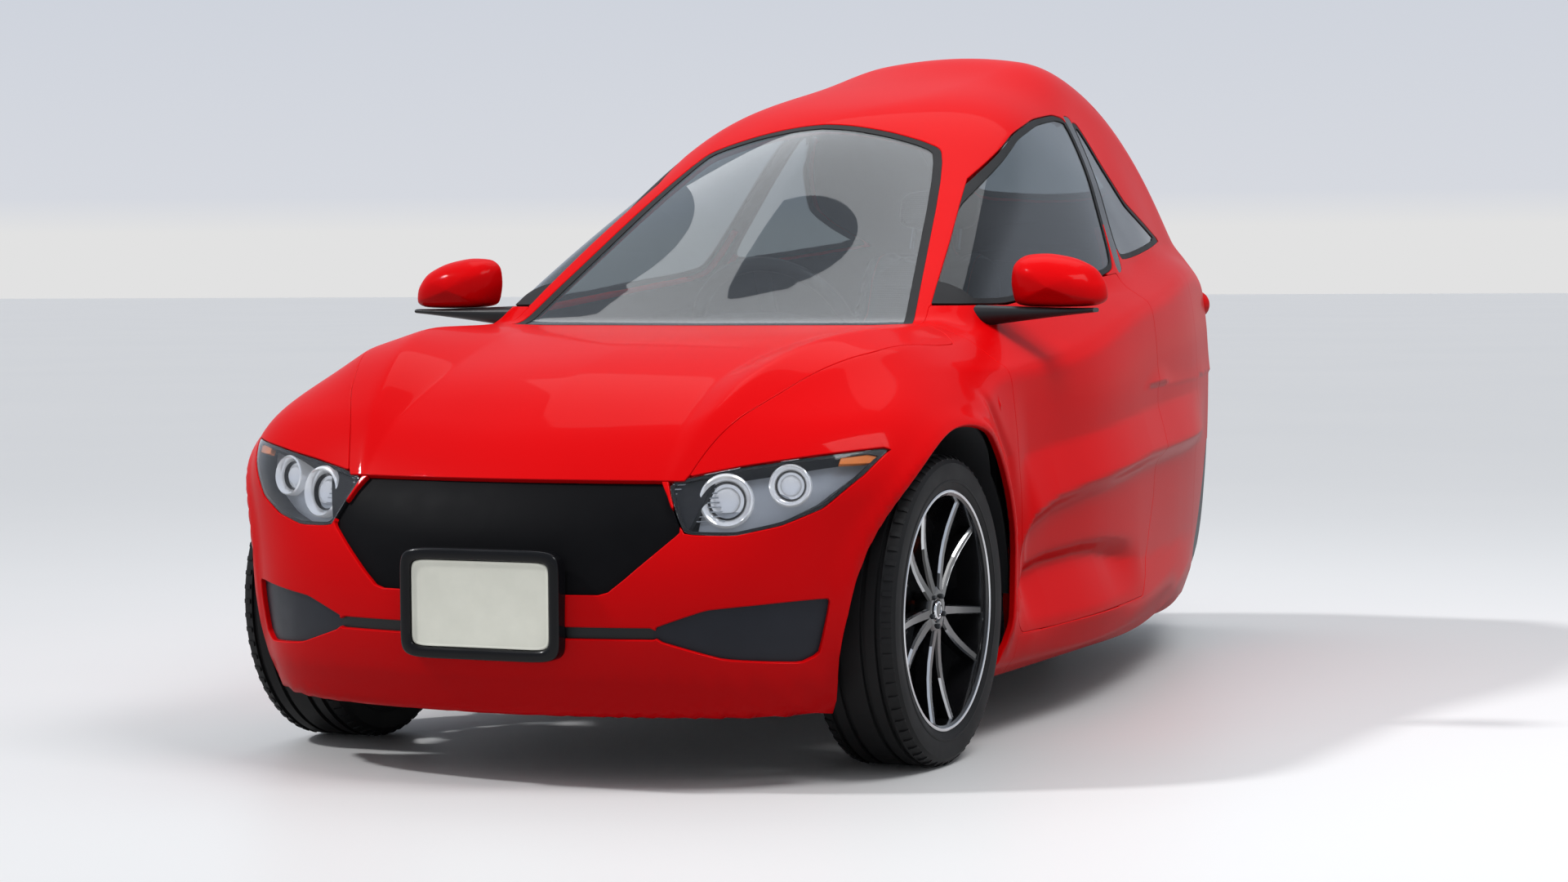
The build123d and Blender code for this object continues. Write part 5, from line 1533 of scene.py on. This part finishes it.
@dataclass
class DoorMirror:
    """Mirror: a painted shell with a drooping outer end, its glass, and a black foot that runs under it."""

    outline: tuple[Pair, ...] = ((-0.086, -0.040), (-0.094, 0.000), (-0.090, 0.036), (-0.070, 0.052),
        (-0.020, 0.055), (0.035, 0.045), (0.075, 0.026), (0.096, -0.004), (0.099, -0.036), (0.080, -0.046),
        (0.020, -0.048), (-0.060, -0.047))
    depth: float = 0.078
    glass_inset: float = 0.88

    def ring(self, scale: float, y: float, drop: float, centre: Sequence[float]) -> Array:
        """One section of the shell across the car."""
        line = rounded([(x * 1000, z * 1000) for x, z in self.outline], 2, 0.2)
        middle = line.mean(0)
        flat = middle + (line - middle) * scale
        return np.stack([centre[0] + flat[:, 0], np.full(len(flat), centre[1] + y), centre[2] + flat[:,
            1] - drop], 1)

    def build(self) -> None:
        """Makes both mirrors where their CAD solids are."""
        low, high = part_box("door_mirror_left")
        centre = (high[0] - 0.101, (low[1] + high[1]) / 2 + 0.004, high[2] - 0.058)
        half = self.depth / 2
        for side in Side:
            shell = Shape()
            rings = [self.ring(scale, half - back, 0, centre) for scale,
                back in ((self.glass_inset - 0.04, 0.012), (0.95, 0.004), (0.975, 0.0), (1.0, 0.004))]
            for share in np.linspace(0.0, 1.0, 12)[1:]:
                size = (1 - share**2.3) ** (1 / 2.2)
                rings.append(self.ring(max(size, 0.03), half - 0.004 - self.depth * 0.97 * share,
                    0.010 * share, centre))
            shell.loft(rings, 0)
            glass = Shape().loft([self.ring(self.glass_inset, half - 0.009, 0, centre),
                self.ring(self.glass_inset, half - 0.006, 0, centre)], 0)
            x0, x1, z0 = centre[0] - 0.150, centre[0] + 0.086, centre[2] - 0.050
            foot = Shape()
            rings = []
            for t in np.linspace(0, 1, 12):
                x = x0 + (x1 - x0) * t
                tall = 0.017 * (1 - t) ** 1.2 + 0.0045
                rings.append(oval((x, centre[1] - 0.002 - 0.012 * (1 - t),
                    z0 - 0.006 - 0.010 * (1 - t) + 0.001 * t), (0, 0.030 - 0.012 * t, 0), (0, 0, tall), 2.6,
                    24))
            foot.loft(rings, 0)
            for part in (shell, glass, foot):
                part.to_side(side)
            settle(shell.piece(f"mirror_shell_{side.word}", (RED_ENAMEL,), 60), f"door_{side.word}", "paint",
                f"door_mirror_{side.word}")
            settle(glass.piece(f"mirror_glass_{side.word}", (BRIGHT_CHROME,)), f"door_{side.word}", "glass")
            settle(foot.piece(f"mirror_foot_{side.word}", (BLACK_MOULDING,), 50), f"door_{side.word}", "trim")


@dataclass
class NumberPlate:
    """Blank plate with a pressed rim in a rounded black surround."""

    middle_z: float = 0.320
    face_y: float = -1.518
    half: Pair = (0.134, 0.075)
    border: float = 0.021

    def ring(self, grow: float, y: float, power: float = 14.0) -> Array:
        """Rounded rectangle at a station."""
        return oval((0, y, self.middle_z), (self.half[0] + grow, 0, 0), (0, 0, self.half[1] + grow), power,
            96)

    def build(self) -> None:
        """Makes the plate and its surround."""
        y = self.face_y
        plate = Shape().loft([self.ring(grow, y + behind) for grow, behind in ((-0.0005, 0.003), (0, 0.0022),
            (0, 0.0008), (-0.0006, 0), (-0.003, 0), (-0.0036, 0.0007), (-0.0046, 0.0010))])
        settle(plate.piece("blank_number_plate", (PLATE_ENAMEL,), 50), "car_body", "plate", "number_plate")
        b, front = self.border, y - 0.0065
        frame_shape = Shape().loft([self.ring(b, y + 0.022, 9), self.ring(b, front + 0.006, 9),
            self.ring(b - 0.001, front + 0.002, 9), self.ring(b - 0.004, front, 9), self.ring(0.007, front,
            11), self.ring(0.003, front + 0.0015, 12), self.ring(0.0012, front + 0.005, 13),
            self.ring(0.0006, y + 0.0032, 14)], 0)
        settle(frame_shape.piece("plate_surround", (BLACK_LACQUER,), 50), "car_body", "plate", "plate_frame")


# ---------------------------------------------------------------- wheels
@dataclass
class RoadWheel:
    """Wheel: grooved tyre, black barrel with a bright lip, split machined spokes and a bolted hub."""

    label: str
    nodes: tuple[str, str]
    body: str
    centre: Triple
    out: int = 1
    spokes: int = 5
    hub_end: Triple = (0.036, 0.008, 0.0560)
    rim_end: Triple = (0.207, 0.047, 0.0675)
    arm_wide: Pair = (0.021, 0.0125)

    def tyre(self) -> None:
        """Casing with four grooves and bead, and its rings of shoulder blocks."""
        wall = [(0.2145, 0.0730), (0.2200, 0.0775), (0.2290, 0.0800), (0.2300, 0.0812), (0.2330, 0.0812),
            (0.2345, 0.0802), (0.2520, 0.0822), (0.2640, 0.0806), (0.2650, 0.0797), (0.2715, 0.0755),
            (0.2750, 0.0690), (0.2765, 0.0620)]
        tread = [(r, x) for at in (0.052, 0.024) for x, r in ((at + 0.005, 0.2785), (at + 0.004, 0.2725),
            (at - 0.004, 0.2725), (at - 0.005, 0.2790))]
        half = wall + tread
        inner = [(0.2145, 0.0660), (0.2260, 0.0600), (0.2620, 0.0500), (0.2680, 0.0)]
        section = inner[::-1] + half + [(r, -x) for r, x in half[::-1]] + [(r, -x) for r, x in inner[:3]]
        casing = Shape().turn(section, self.centre, (self.out, 0, 0), 0, 96, loop=True)
        settle(casing.piece(f"tyre_casing_{self.label}", (TYRE_RUBBER,), 28), self.body, "tyre",
            self.nodes[1])
        block = Shape()
        for way, lag in ((1, 0.0), (-1, 0.0065)):
            ring = [np.array([(0.2700, lag - w, way * x), (0.2700, lag + w, way * x), (top, lag + w * 0.9,
                way * x), (top, lag - w * 0.9, way * x)]) for x, top, w in ((0.0605, 0.2797, 0.0048),
                (0.0700, 0.2775, 0.0048), (0.0765, 0.2722, 0.0042))]
            block.loft(ring)
        self.ringed(block.piece(f"tyre_shoulder_blocks_{self.label}", (TYRE_RUBBER,)), TYRE_RUBBER, 64,
            "tyre")

    def ringed(self, piece: Object, finish: Finish, count: int, slot: str) -> None:
        """Repeats a piece round the wheel's axis."""
        Repeater(Layout.RING).run(piece, finish, Count=count, Radius=0.0, Centre=self.centre,
            Turn=(0.0, math.radians(90 * self.out), 0.0))
        settle(piece, self.body, slot)

    def arm(self, shape: Shape, side: int, span: Pair, across: Sequence[Pair]) -> None:
        """Adds a bar that runs along one arm of a spoke.

        Args:
            shape: Where it goes.
            side: Which arm, 1 or -1.
            span: Its start and end as shares of the arm.
            across: Corners of its section: share of the arm's half width, and depth behind its face.
        """
        rings = []
        for t in np.linspace(*span, 6):
            r, off, face = (a + (b - a) * t for a, b in zip(self.hub_end, self.rim_end))
            face -= 0.010 * math.sin(math.pi * t)
            wide = (self.arm_wide[0] + (self.arm_wide[1] - self.arm_wide[0]) * t) / 2
            rings.append(np.array([(r, side * (off + a * wide), face - d) for a, d in across]))
        shape.loft(rings)

    def rim(self) -> None:
        """Barrel, lip, spokes, machined edges, hub and bolts."""
        way = (self.out, 0, 0)
        barrel = Shape().turn([(0.2165, 0.0745), (0.2100, 0.0750), (0.2060, 0.0720), (0.2040, 0.0620),
            (0.2030, 0.0200), (0.1960, -0.0100), (0.1990, -0.0600), (0.2060, -0.0745), (0.2165, -0.0745),
            (0.2165, -0.0700), (0.2100, -0.0600), (0.2080, 0.0), (0.2100, 0.0640), (0.2165, 0.0700)],
            self.centre, way, 0, 80, loop=True)
        barrel.turn([(0.2168, 0.0735), (0.2160, 0.0768), (0.2140, 0.0778), (0.2112, 0.0775), (0.2100, 0.0762),
            (0.2105, 0.0735)], self.centre, way, 1, 96, loop=True)
        settle(barrel.piece(f"rim_barrel_{self.label}", (WHEEL_LACQUER, TURNED_ALUMINIUM), 30), self.body,
            "rim", self.nodes[0])
        spoke, edges = Shape(), Shape()
        section = ((-1.0, 0.004), (-0.72, 0.0), (0.72, 0.0), (1.0, 0.004), (0.8, 0.026), (-0.8, 0.026))
        for side in (1, -1):
            self.arm(spoke, side, (0.0, 1.0), section)
            self.arm(edges, side, (0.16, 1.0), ((0.70, 0.0004), (0.72, -0.0007), (1.02, 0.0034),
                (0.98, 0.0048)))
            self.arm(edges, side, (0.52, 1.0), ((-0.98, 0.0044), (-1.02, 0.0034), (-0.72, -0.0007),
                (-0.70, 0.0004)))
        self.ringed(spoke.piece(f"rim_spokes_{self.label}", (WHEEL_LACQUER,), 25), WHEEL_LACQUER, self.spokes,
            "rim")
        self.ringed(edges.piece(f"rim_machined_edges_{self.label}", (TURNED_ALUMINIUM,), 25),
            TURNED_ALUMINIUM, self.spokes, "rim")
        hub = Shape().turn([(0.0, 0.0575), (0.012, 0.0580), (0.0165, 0.0568), (0.0175, 0.0530),
            (0.0205, 0.0520), (0.0230, 0.0545), (0.0360, 0.0560), (0.0420, 0.0530), (0.0460, 0.0400),
            (0.0460, 0.0200), (0.0380, -0.0200), (0.0, -0.0200)], self.centre, way, 0, 56)
        hub.turn([(0.0125, 0.0572), (0.0130, 0.0590), (0.0160, 0.0584), (0.0170, 0.0560)], self.centre, way,
            1, 56, loop=True)
        settle(hub.piece(f"rim_hub_{self.label}", (WHEEL_LACQUER, BRIGHT_CHROME), 35), self.body, "rim")
        bolt = Shape().turn([(0.0, 0.0610), (0.0035, 0.0608), (0.0048, 0.0590), (0.0050, 0.0545)],
            (0.0290, 0, 0), (0, 0, 1), 0, 6)
        self.ringed(bolt.piece(f"rim_bolts_{self.label}", (DARK_STEEL,)), DARK_STEEL, self.spokes, "rim")

    def build(self) -> None:
        """Makes the whole wheel."""
        self.tyre()
        self.rim()


@dataclass
class BrakeCaliper:
    """Two-sided caliper over the front edge of a disc, on the knuckle."""

    middle_turn: float = math.radians(168)
    spread: float = math.radians(27)
    wheel: Triple = (WHEEL_X, AXLE_FRONT, TYRE_R)

    def sector(self, shape: Shape, radii: Pair, along: Pair) -> None:
        """Adds a curved block between two radii and two stations along the axle."""
        rings = []
        for t in np.linspace(-1, 1, 9):
            turn = self.middle_turn + t * self.spread
            shrink = 1 - 0.35 * t**6
            (r0, r1), (a0, a1) = radii, along
            flat = oval((0, 0, 0), ((r1 - r0) / 2 * shrink, 0, 0), (0, (a1 - a0) / 2, 0), 5.0, 20)
            r = (r0 + r1) / 2 + flat[:, 0]
            rings.append(self.wheel + np.stack([(a0 + a1) / 2 + flat[:, 1], r * math.cos(turn),
                r * math.sin(turn)], 1))
        shape.loft(rings)

    def build(self) -> None:
        """Makes both calipers."""
        for side in Side:
            shape = Shape()
            self.sector(shape, (0.098, 0.146), (-0.025, -0.006))
            self.sector(shape, (0.098, 0.146), (-0.064, -0.043))
            self.sector(shape, (0.131, 0.149), (-0.062, -0.008))
            shape.to_side(side)
            settle(shape.piece(f"brake_caliper_{side.word}", (CALIPER_ORANGE,), 40), f"knuckle_{side.word}",
                "suspension")


# ---------------------------------------------------------------- cabin
@dataclass
class Seat:
    """Bucket seat: padded cushion, leaning back and headrest, leatherette bolsters and red seams."""

    voxel: float = 0.0065
    cap: float = 0.022
    lean: float = math.radians(20)
    hinge: Pair = (0.4003, 0.425)

    def pad(self, name: str, rings: Sequence[Array], node: str, seams: Sequence[float],
            way: Vector) -> None:
        """Makes one padded piece and its stitched seams.

        Args:
            name: Piece name.
            rings: Sections of the slightly slack shape.
            node: CAD node that it stands for.
            seams: Stations across the seat where a seam runs.
            way: Direction that the pad's face looks.
        """
        piece = Shape().loft(rings).piece(name, (SEAT_CLOTH, LEATHERETTE))
        self.swell(piece)
        for face in piece.data.polygons:
            face.use_smooth = True
            face.material_index = int(bool(seams) and abs(face.center[0]) > max(seams))
        settle(piece, "car_body", "seat", node)
        tree = BVHTree.FromObject(piece, bpy.context.evaluated_depsgraph_get())
        low, high = (Vector(np.vstack(rings).min(0)), Vector(np.vstack(rings).max(0)))
        along = Vector((0, -way.z, way.y)) if abs(way.y) > 0.5 else Vector((0, 1, 0))
        for index, x in enumerate(x * sign for x in seams for sign in (1, -1)):
            middle = (low + high) / 2
            reach = (high - low).dot(Vector((0, abs(along.y), abs(along.z)))) * 0.46
            hits = [tree.ray_cast(Vector((x, middle.y, middle.z)) + along * t + way * 0.4,
                -way)[0] for t in np.linspace(-reach, reach, 40)]
            line = [hit + way * 0.0008 for hit in hits if hit]
            mesh = bpy.data.meshes.new("seam_line")
            mesh.from_pydata(line, [(i, i + 1) for i in range(len(line) - 1)], [])
            path = bpy.data.objects.new("seam_line", mesh)
            bpy.context.scene.collection.objects.link(path)
            stitch = Shape().tube([(0, 0, -0.0034), (0, 0, 0), (0, 0, 0.0034)], (0.0008, 0.0012, 0.0008), 0,
                6)
            thread = stitch.piece(f"{name}_seam_{index}", (SEAT_THREAD,))
            Repeater(Layout.PATH).run(thread, SEAT_THREAD, Path=path, Pitch=0.009)
            bpy.data.objects.remove(path)
            settle(thread, "car_body", "seat")

    def swell(self, piece: Object) -> None:
        """Fills the slack cover with Cloth pressure and keeps the result as its mesh."""
        tool = piece.modifiers.new("even_cells", "REMESH")
        tool.mode, tool.voxel_size = "VOXEL", self.voxel
        piece.data = bpy.data.meshes.new_from_object(evaluated(piece))
        piece.modifiers.clear()
        rest = np.empty(len(piece.data.vertices) * 3)
        piece.data.vertices.foreach_get("co", rest)
        cloth = piece.modifiers.new("padding", "CLOTH").settings
        cloth.use_pressure, cloth.uniform_pressure_force, cloth.effector_weights.gravity = True, 4.0, 0.0
        for step in range(1, 21):
            bpy.context.scene.frame_set(step)
        ready = evaluated(piece)
        moved = np.empty_like(rest)
        ready.data.vertices.foreach_get("co", moved)
        piece.modifiers.clear()
        shift = (moved - rest).reshape(-1, 3)
        far = np.linalg.norm(shift, axis=1, keepdims=True)
        shift *= np.minimum(1.0, self.cap / np.maximum(far, 1e-9))
        piece.data.vertices.foreach_set("co", rest + shift.ravel())
        piece.data.update()
        bpy.context.scene.frame_set(1)
        subdivide(piece)

    def section(self, wide: float, low: float, high: float, hollow: float) -> Array:
        """Section across the seat: x and height, with raised bolsters at both sides."""
        ring = oval((0, 0, 0), (wide, 0, 0), (0, 1, 0), 3.4, 48)
        x, up = ring[:, 0], ring[:, 1]
        z = (low + high) / 2 + up * (high - low) / 2
        lift = hollow * (np.exp(-((np.abs(x) - 0.165) / 0.045) ** 2) - np.exp(-(x / 0.11) ** 2) * 0.6)
        return np.stack([x, z + np.maximum(up, 0) * lift], 1)

    def build(self) -> None:
        """Makes the cushion, back, headrest and posts."""
        rings = []
        for t in np.linspace(0, 1, 14):
            size = (1 - abs(2 * t - 1) ** 7) ** 0.35
            flat = self.section(0.155 + 0.055 * size, 0.395 - 0.048 * size, 0.397 + 0.045 * size, 0.016)
            rings.append(np.stack([flat[:, 0], np.full(len(flat), -0.046 + 0.432 * t), flat[:, 1]], 1))
        self.pad("seat_cushion_pad", rings, "seat_cushion", (0.128,), Vector((0, 0, 1)))
        up = np.array((0, math.sin(self.lean), math.cos(self.lean)))
        deep = np.array((0, math.cos(self.lean), -math.sin(self.lean)))
        base = np.array((0, *self.hinge))
        rings = []
        for t in np.linspace(0, 1, 16):
            size = (1 - abs(2 * t - 1) ** 8) ** 0.35
            wide = (0.150 + 0.058 * size) * (1 - 0.22 * max(t - 0.55, 0) / 0.45)
            flat = self.section(wide, -0.054 - 0.046 * size, -0.058 + 0.036 * size, 0.014)
            rings.append(base + up * (0.020 + 0.550 * t) + flat[:, :1] * np.array((1, 0, 0)) - flat[:,
                1:] * deep)
        self.pad("seat_back_pad", rings, "seat_back", (0.118,), Vector(-deep))
        rings = []
        for t in np.linspace(0, 1, 10):
            size = (1 - abs(2 * t - 1) ** 4) ** 0.4
            ring = oval(base + up * (0.608 + 0.094 * t) + deep * 0.058, (0.050 + 0.046 * size, 0, 0),
                deep * (0.014 + 0.014 * size), 2.8, 36)
            rings.append(ring)
        self.pad("headrest_pad", rings, "headrest", (), Vector(-deep))
        for side in Side:
            foot = base + np.array((0.055 * side.value, 0, 0)) + deep * 0.060
            post = Shape().tube([foot + up * 0.560, foot + up * 0.640], 0.006, 0, 16)
            settle(post.piece(f"headrest_post_{side.word}", (BRIGHT_CHROME,)), "car_body", "seat")


@dataclass
class CabinFittings:
    """Instrument hood, screen and vents on the dashboard."""

    dash_y: float = -0.330

    def build(self) -> None:
        """Makes the fittings."""
        hood = Shape()
        rings = []
        for t in np.linspace(0, 1, 9):
            wide, tall = 0.150 - 0.055 * t**2, 0.046 * (1 - t**2.2) + 0.004
            rings.append(oval((0, self.dash_y - 0.012 - 0.150 * t, 0.752), (wide, 0, 0), (0, 0, tall), 2.6,
                40))
        hood.loft(rings)
        settle(hood.piece("instrument_hood", (CABIN_TRIM,), 50), "car_body", "dashboard")
        face = Shape().loft([oval((0, self.dash_y - 0.011, 0.758), (0.134, 0, 0), (0, 0, 0.032), 3.2, 48),
            oval((0, self.dash_y - 0.008, 0.758), (0.130, 0, 0), (0, 0, 0.029), 3.2, 48)])
        settle(face.piece("instrument_screen", (BLACK_LACQUER,), 40), "car_body", "dashboard")
        for index, x in enumerate((-0.46, -0.25, 0.25, 0.46)):
            bezel = Shape()
            frame_rings = [oval((x, self.dash_y + y, 0.695), (0.046 + g, 0, 0), (0, 0, 0.024 + g), 4.5,
                32) for g, y in ((0.0, -0.004), (0.0, 0.004), (-0.003, 0.006), (-0.006, 0.004),
                (-0.007, -0.004))]
            bezel.loft(frame_rings, loop=True)
            settle(bezel.piece(f"air_vent_bezel_{index}", (BRIGHT_CHROME,), 40), "car_body", "dashboard")
            slat = Shape().box((-0.039, -0.006, -0.0008),
                (0.039, 0.003, 0.0008)).piece(f"air_vent_slats_{index}", (BLACK_MOULDING,))
            Repeater(Layout.ROW).run(slat, BLACK_MOULDING, Count=5, Start=(x, self.dash_y + 0.001, 0.681),
                Step=(0.0, 0.0, 0.007), Turn=(0.35, 0.0, 0.0))
            settle(slat, "car_body", "dashboard")


@dataclass
class Studio:
    """Camera, floor, backdrop and lights."""

    place: Triple = (2.851, -6.679, 0.896)
    azimuth: float = math.radians(23.802)
    drop: float = math.radians(2.907)
    roll: float = math.radians(-0.421)
    lens: float = 78.75

    def camera(self) -> None:
        """The camera at its measured place and turn."""
        az, el = self.azimuth, self.drop
        ahead = Vector((-math.sin(az) * math.cos(el), math.cos(az) * math.cos(el), -math.sin(el)))
        flat = Vector((math.cos(az), math.sin(az), 0))
        above = flat.cross(ahead)
        right = math.cos(self.roll) * flat + math.sin(self.roll) * above
        up = -math.sin(self.roll) * flat + math.cos(self.roll) * above
        data = bpy.data.cameras.new("studio_camera")
        data.lens, data.sensor_width, data.clip_end = self.lens, 36.0, 300.0
        camera = bpy.data.objects.new("studio_camera", data)
        turn = Matrix((right, up, -ahead)).transposed().to_4x4()
        camera.matrix_world = Matrix.Translation(self.place) @ turn
        bpy.context.scene.collection.objects.link(camera)
        bpy.context.scene.camera = camera

    def floor(self) -> None:
        """A wide pale floor of sealed screed: faint clouding and a soft sheen."""
        material, tree, shader, place = new_material("pale_sealed_screed")
        cloud = add_node(tree, "ShaderNodeTexNoise", {"Vector": place, "Scale": 0.35, "Detail": 6.0})
        colour = add_node(tree, "ShaderNodeMix", {0: cloud.outputs["Fac"], 6: srgb("#EEEEEE"),
            7: srgb("#E7E8E9")}, data_type="RGBA")
        feed(tree, shader, {"Base Color": colour.outputs[2], "Roughness": 0.45, "Specular IOR Level": 0.25})
        size = 90.0
        corners = np.array([(-size, -size, 0), (size, -size, 0), (size, size, 0), (-size, size, 0)])
        add_piece("studio_floor", corners, [[0, 1, 2, 3]], [material])

    def world(self) -> None:
        """Even pale surroundings; eye, gloss and glass see a floor-white band under a blue-grey backdrop."""
        world = bpy.data.worlds.new("studio_air")
        bpy.context.scene.world = world
        world.use_nodes = True
        tree = world.node_tree
        tree.nodes.clear()
        node = partial(add_node, tree)
        sight = node("ShaderNodeTexCoord").outputs["Generated"]
        height = node("ShaderNodeSeparateXYZ", {0: sight}).outputs["Z"]
        rise = node("ShaderNodeMapRange", {"Value": height, "From Min": 0.02, "From Max": 0.16})
        paper = node("ShaderNodeMix", {0: rise.outputs["Result"], 6: srgb("#D6D9E0"), 7: srgb("#C5CCD8")},
            data_type="RGBA")
        edge = node("ShaderNodeMapRange", {"Value": height, "From Min": 0.011, "From Max": 0.021})
        shown = node("ShaderNodeMix", {0: edge.outputs["Result"], 6: srgb("#E2E2E2"), 7: paper.outputs[2]},
            data_type="RGBA")
        glow = node("ShaderNodeMapRange", {"Value": height, "From Min": -0.1, "From Max": 1.0})
        soft = node("ShaderNodeMix", {0: glow.outputs["Result"], 6: srgb("#A2A3A6"), 7: srgb("#B4B6B9")},
            data_type="RGBA")
        rays = node("ShaderNodeLightPath").outputs
        shiny = node("ShaderNodeMath", {0: rays["Is Glossy Ray"], 1: rays["Is Transmission Ray"]},
            operation="ADD", use_clamp=True)
        share = node("ShaderNodeMath", {0: rays["Is Camera Ray"], 1: shiny.outputs[0]}, operation="ADD",
            use_clamp=True)
        seen = node("ShaderNodeMix", {0: share.outputs[0], 6: soft.outputs[2], 7: shown.outputs[2]},
            data_type="RGBA")
        air = node("ShaderNodeBackground", {"Color": seen.outputs[2], "Strength": 1.0})
        node("ShaderNodeOutputWorld", {"Surface": air.outputs[0]})

    def light(self, name: str, place: Sequence[float], aim: Sequence[float], size: Pair,
            power: float) -> None:
        """One rectangular soft lamp aimed at a point."""
        data = bpy.data.lights.new(name, "AREA")
        data.shape, data.size, data.size_y, data.energy = "RECTANGLE", size[0], size[1], power
        lamp = bpy.data.objects.new(name, data)
        lamp.location = place
        lamp.rotation_euler = (Vector(aim) - Vector(place)).to_track_quat("-Z", "Y").to_euler()
        bpy.context.scene.collection.objects.link(lamp)

    def build(self) -> None:
        """Sets the whole stage."""
        self.camera()
        self.floor()
        self.world()
        sun = bpy.data.lights.new("far_key_softbox", "SUN")
        sun.energy, sun.angle = 1.55, math.radians(5)
        lamp = bpy.data.objects.new("far_key_softbox", sun)
        lamp.rotation_euler = Vector((0.90, 0.40, -1.0)).to_track_quat("-Z", "Y").to_euler()
        bpy.context.scene.collection.objects.link(lamp)
        self.light("ceiling_panel", (-0.8, 2.0, 4.4), (-0.2, -0.2, 0.9), (3.6, 2.2), 34)
        self.light("side_softbox", (2.7, -1.3, 4.3), (0.6, 0, 0.4), (2.6, 1.6), 105)
        bpy.context.scene.view_settings.view_transform = "Standard"


@dataclass
class CarriedParts:
    """CAD nodes that keep their shape and get their finishes here."""

    finishes: dict[str, Finish] = field(default_factory=lambda: {"floor_pan": CHASSIS_PAINT,
        "battery_pack": DARK_STEEL, "front_suspension": DARK_STEEL, "rear_suspension": DARK_STEEL,
        "drive_motor": CAST_IRON, "seat_pedestal": BLACK_MOULDING, "steering_column": BLACK_MOULDING,
        "wheel_liners": CHASSIS_PAINT, "rear_wheel_well": CHASSIS_PAINT, "knuckle_left": DARK_STEEL,
        "knuckle_right": DARK_STEEL, "front_disc_left": CAST_IRON, "front_disc_right": CAST_IRON,
        "rear_disc": CAST_IRON, "plate_frame": BLACK_LACQUER, "number_plate": PLATE_ENAMEL,
        "dashboard": CABIN_TRIM})

    def dress(self) -> None:
        """Gives each node its finish."""
        for name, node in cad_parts.items():
            finish = self.finishes.get(name, BLACK_MOULDING)
            node.data.materials.clear()
            node.data.materials.append(finish.build())
            LOG.info("%s keeps its CAD shape in %s", name, finish.name)


def main() -> None:
    """Builds the sub-assemblies in order."""
    logging.basicConfig(level=logging.INFO, format="%(message)s")
    form = BodyForm()
    Studio().build()
    CarriedParts().dress()
    body = Bodywork(form)
    body.build()
    Headlamp(body).build()
    TailLamp().build()
    DoorMirror().build()
    NumberPlate().build()
    for side in Side:
        RoadWheel(f"front_{side.word}", (f"front_rim_{side.word}", f"front_tyre_{side.word}"),
            f"front_wheel_{side.word}", (WHEEL_X * side.value, AXLE_FRONT, TYRE_R), side.value).build()
    RoadWheel("rear", ("rear_rim", "rear_tyre"), "rear_wheel", (0.0, AXLE_REAR, TYRE_R)).build()
    BrakeCaliper().build()
    Seat().build()
    CabinFittings().build()


if __name__ == "__main__":
    main()
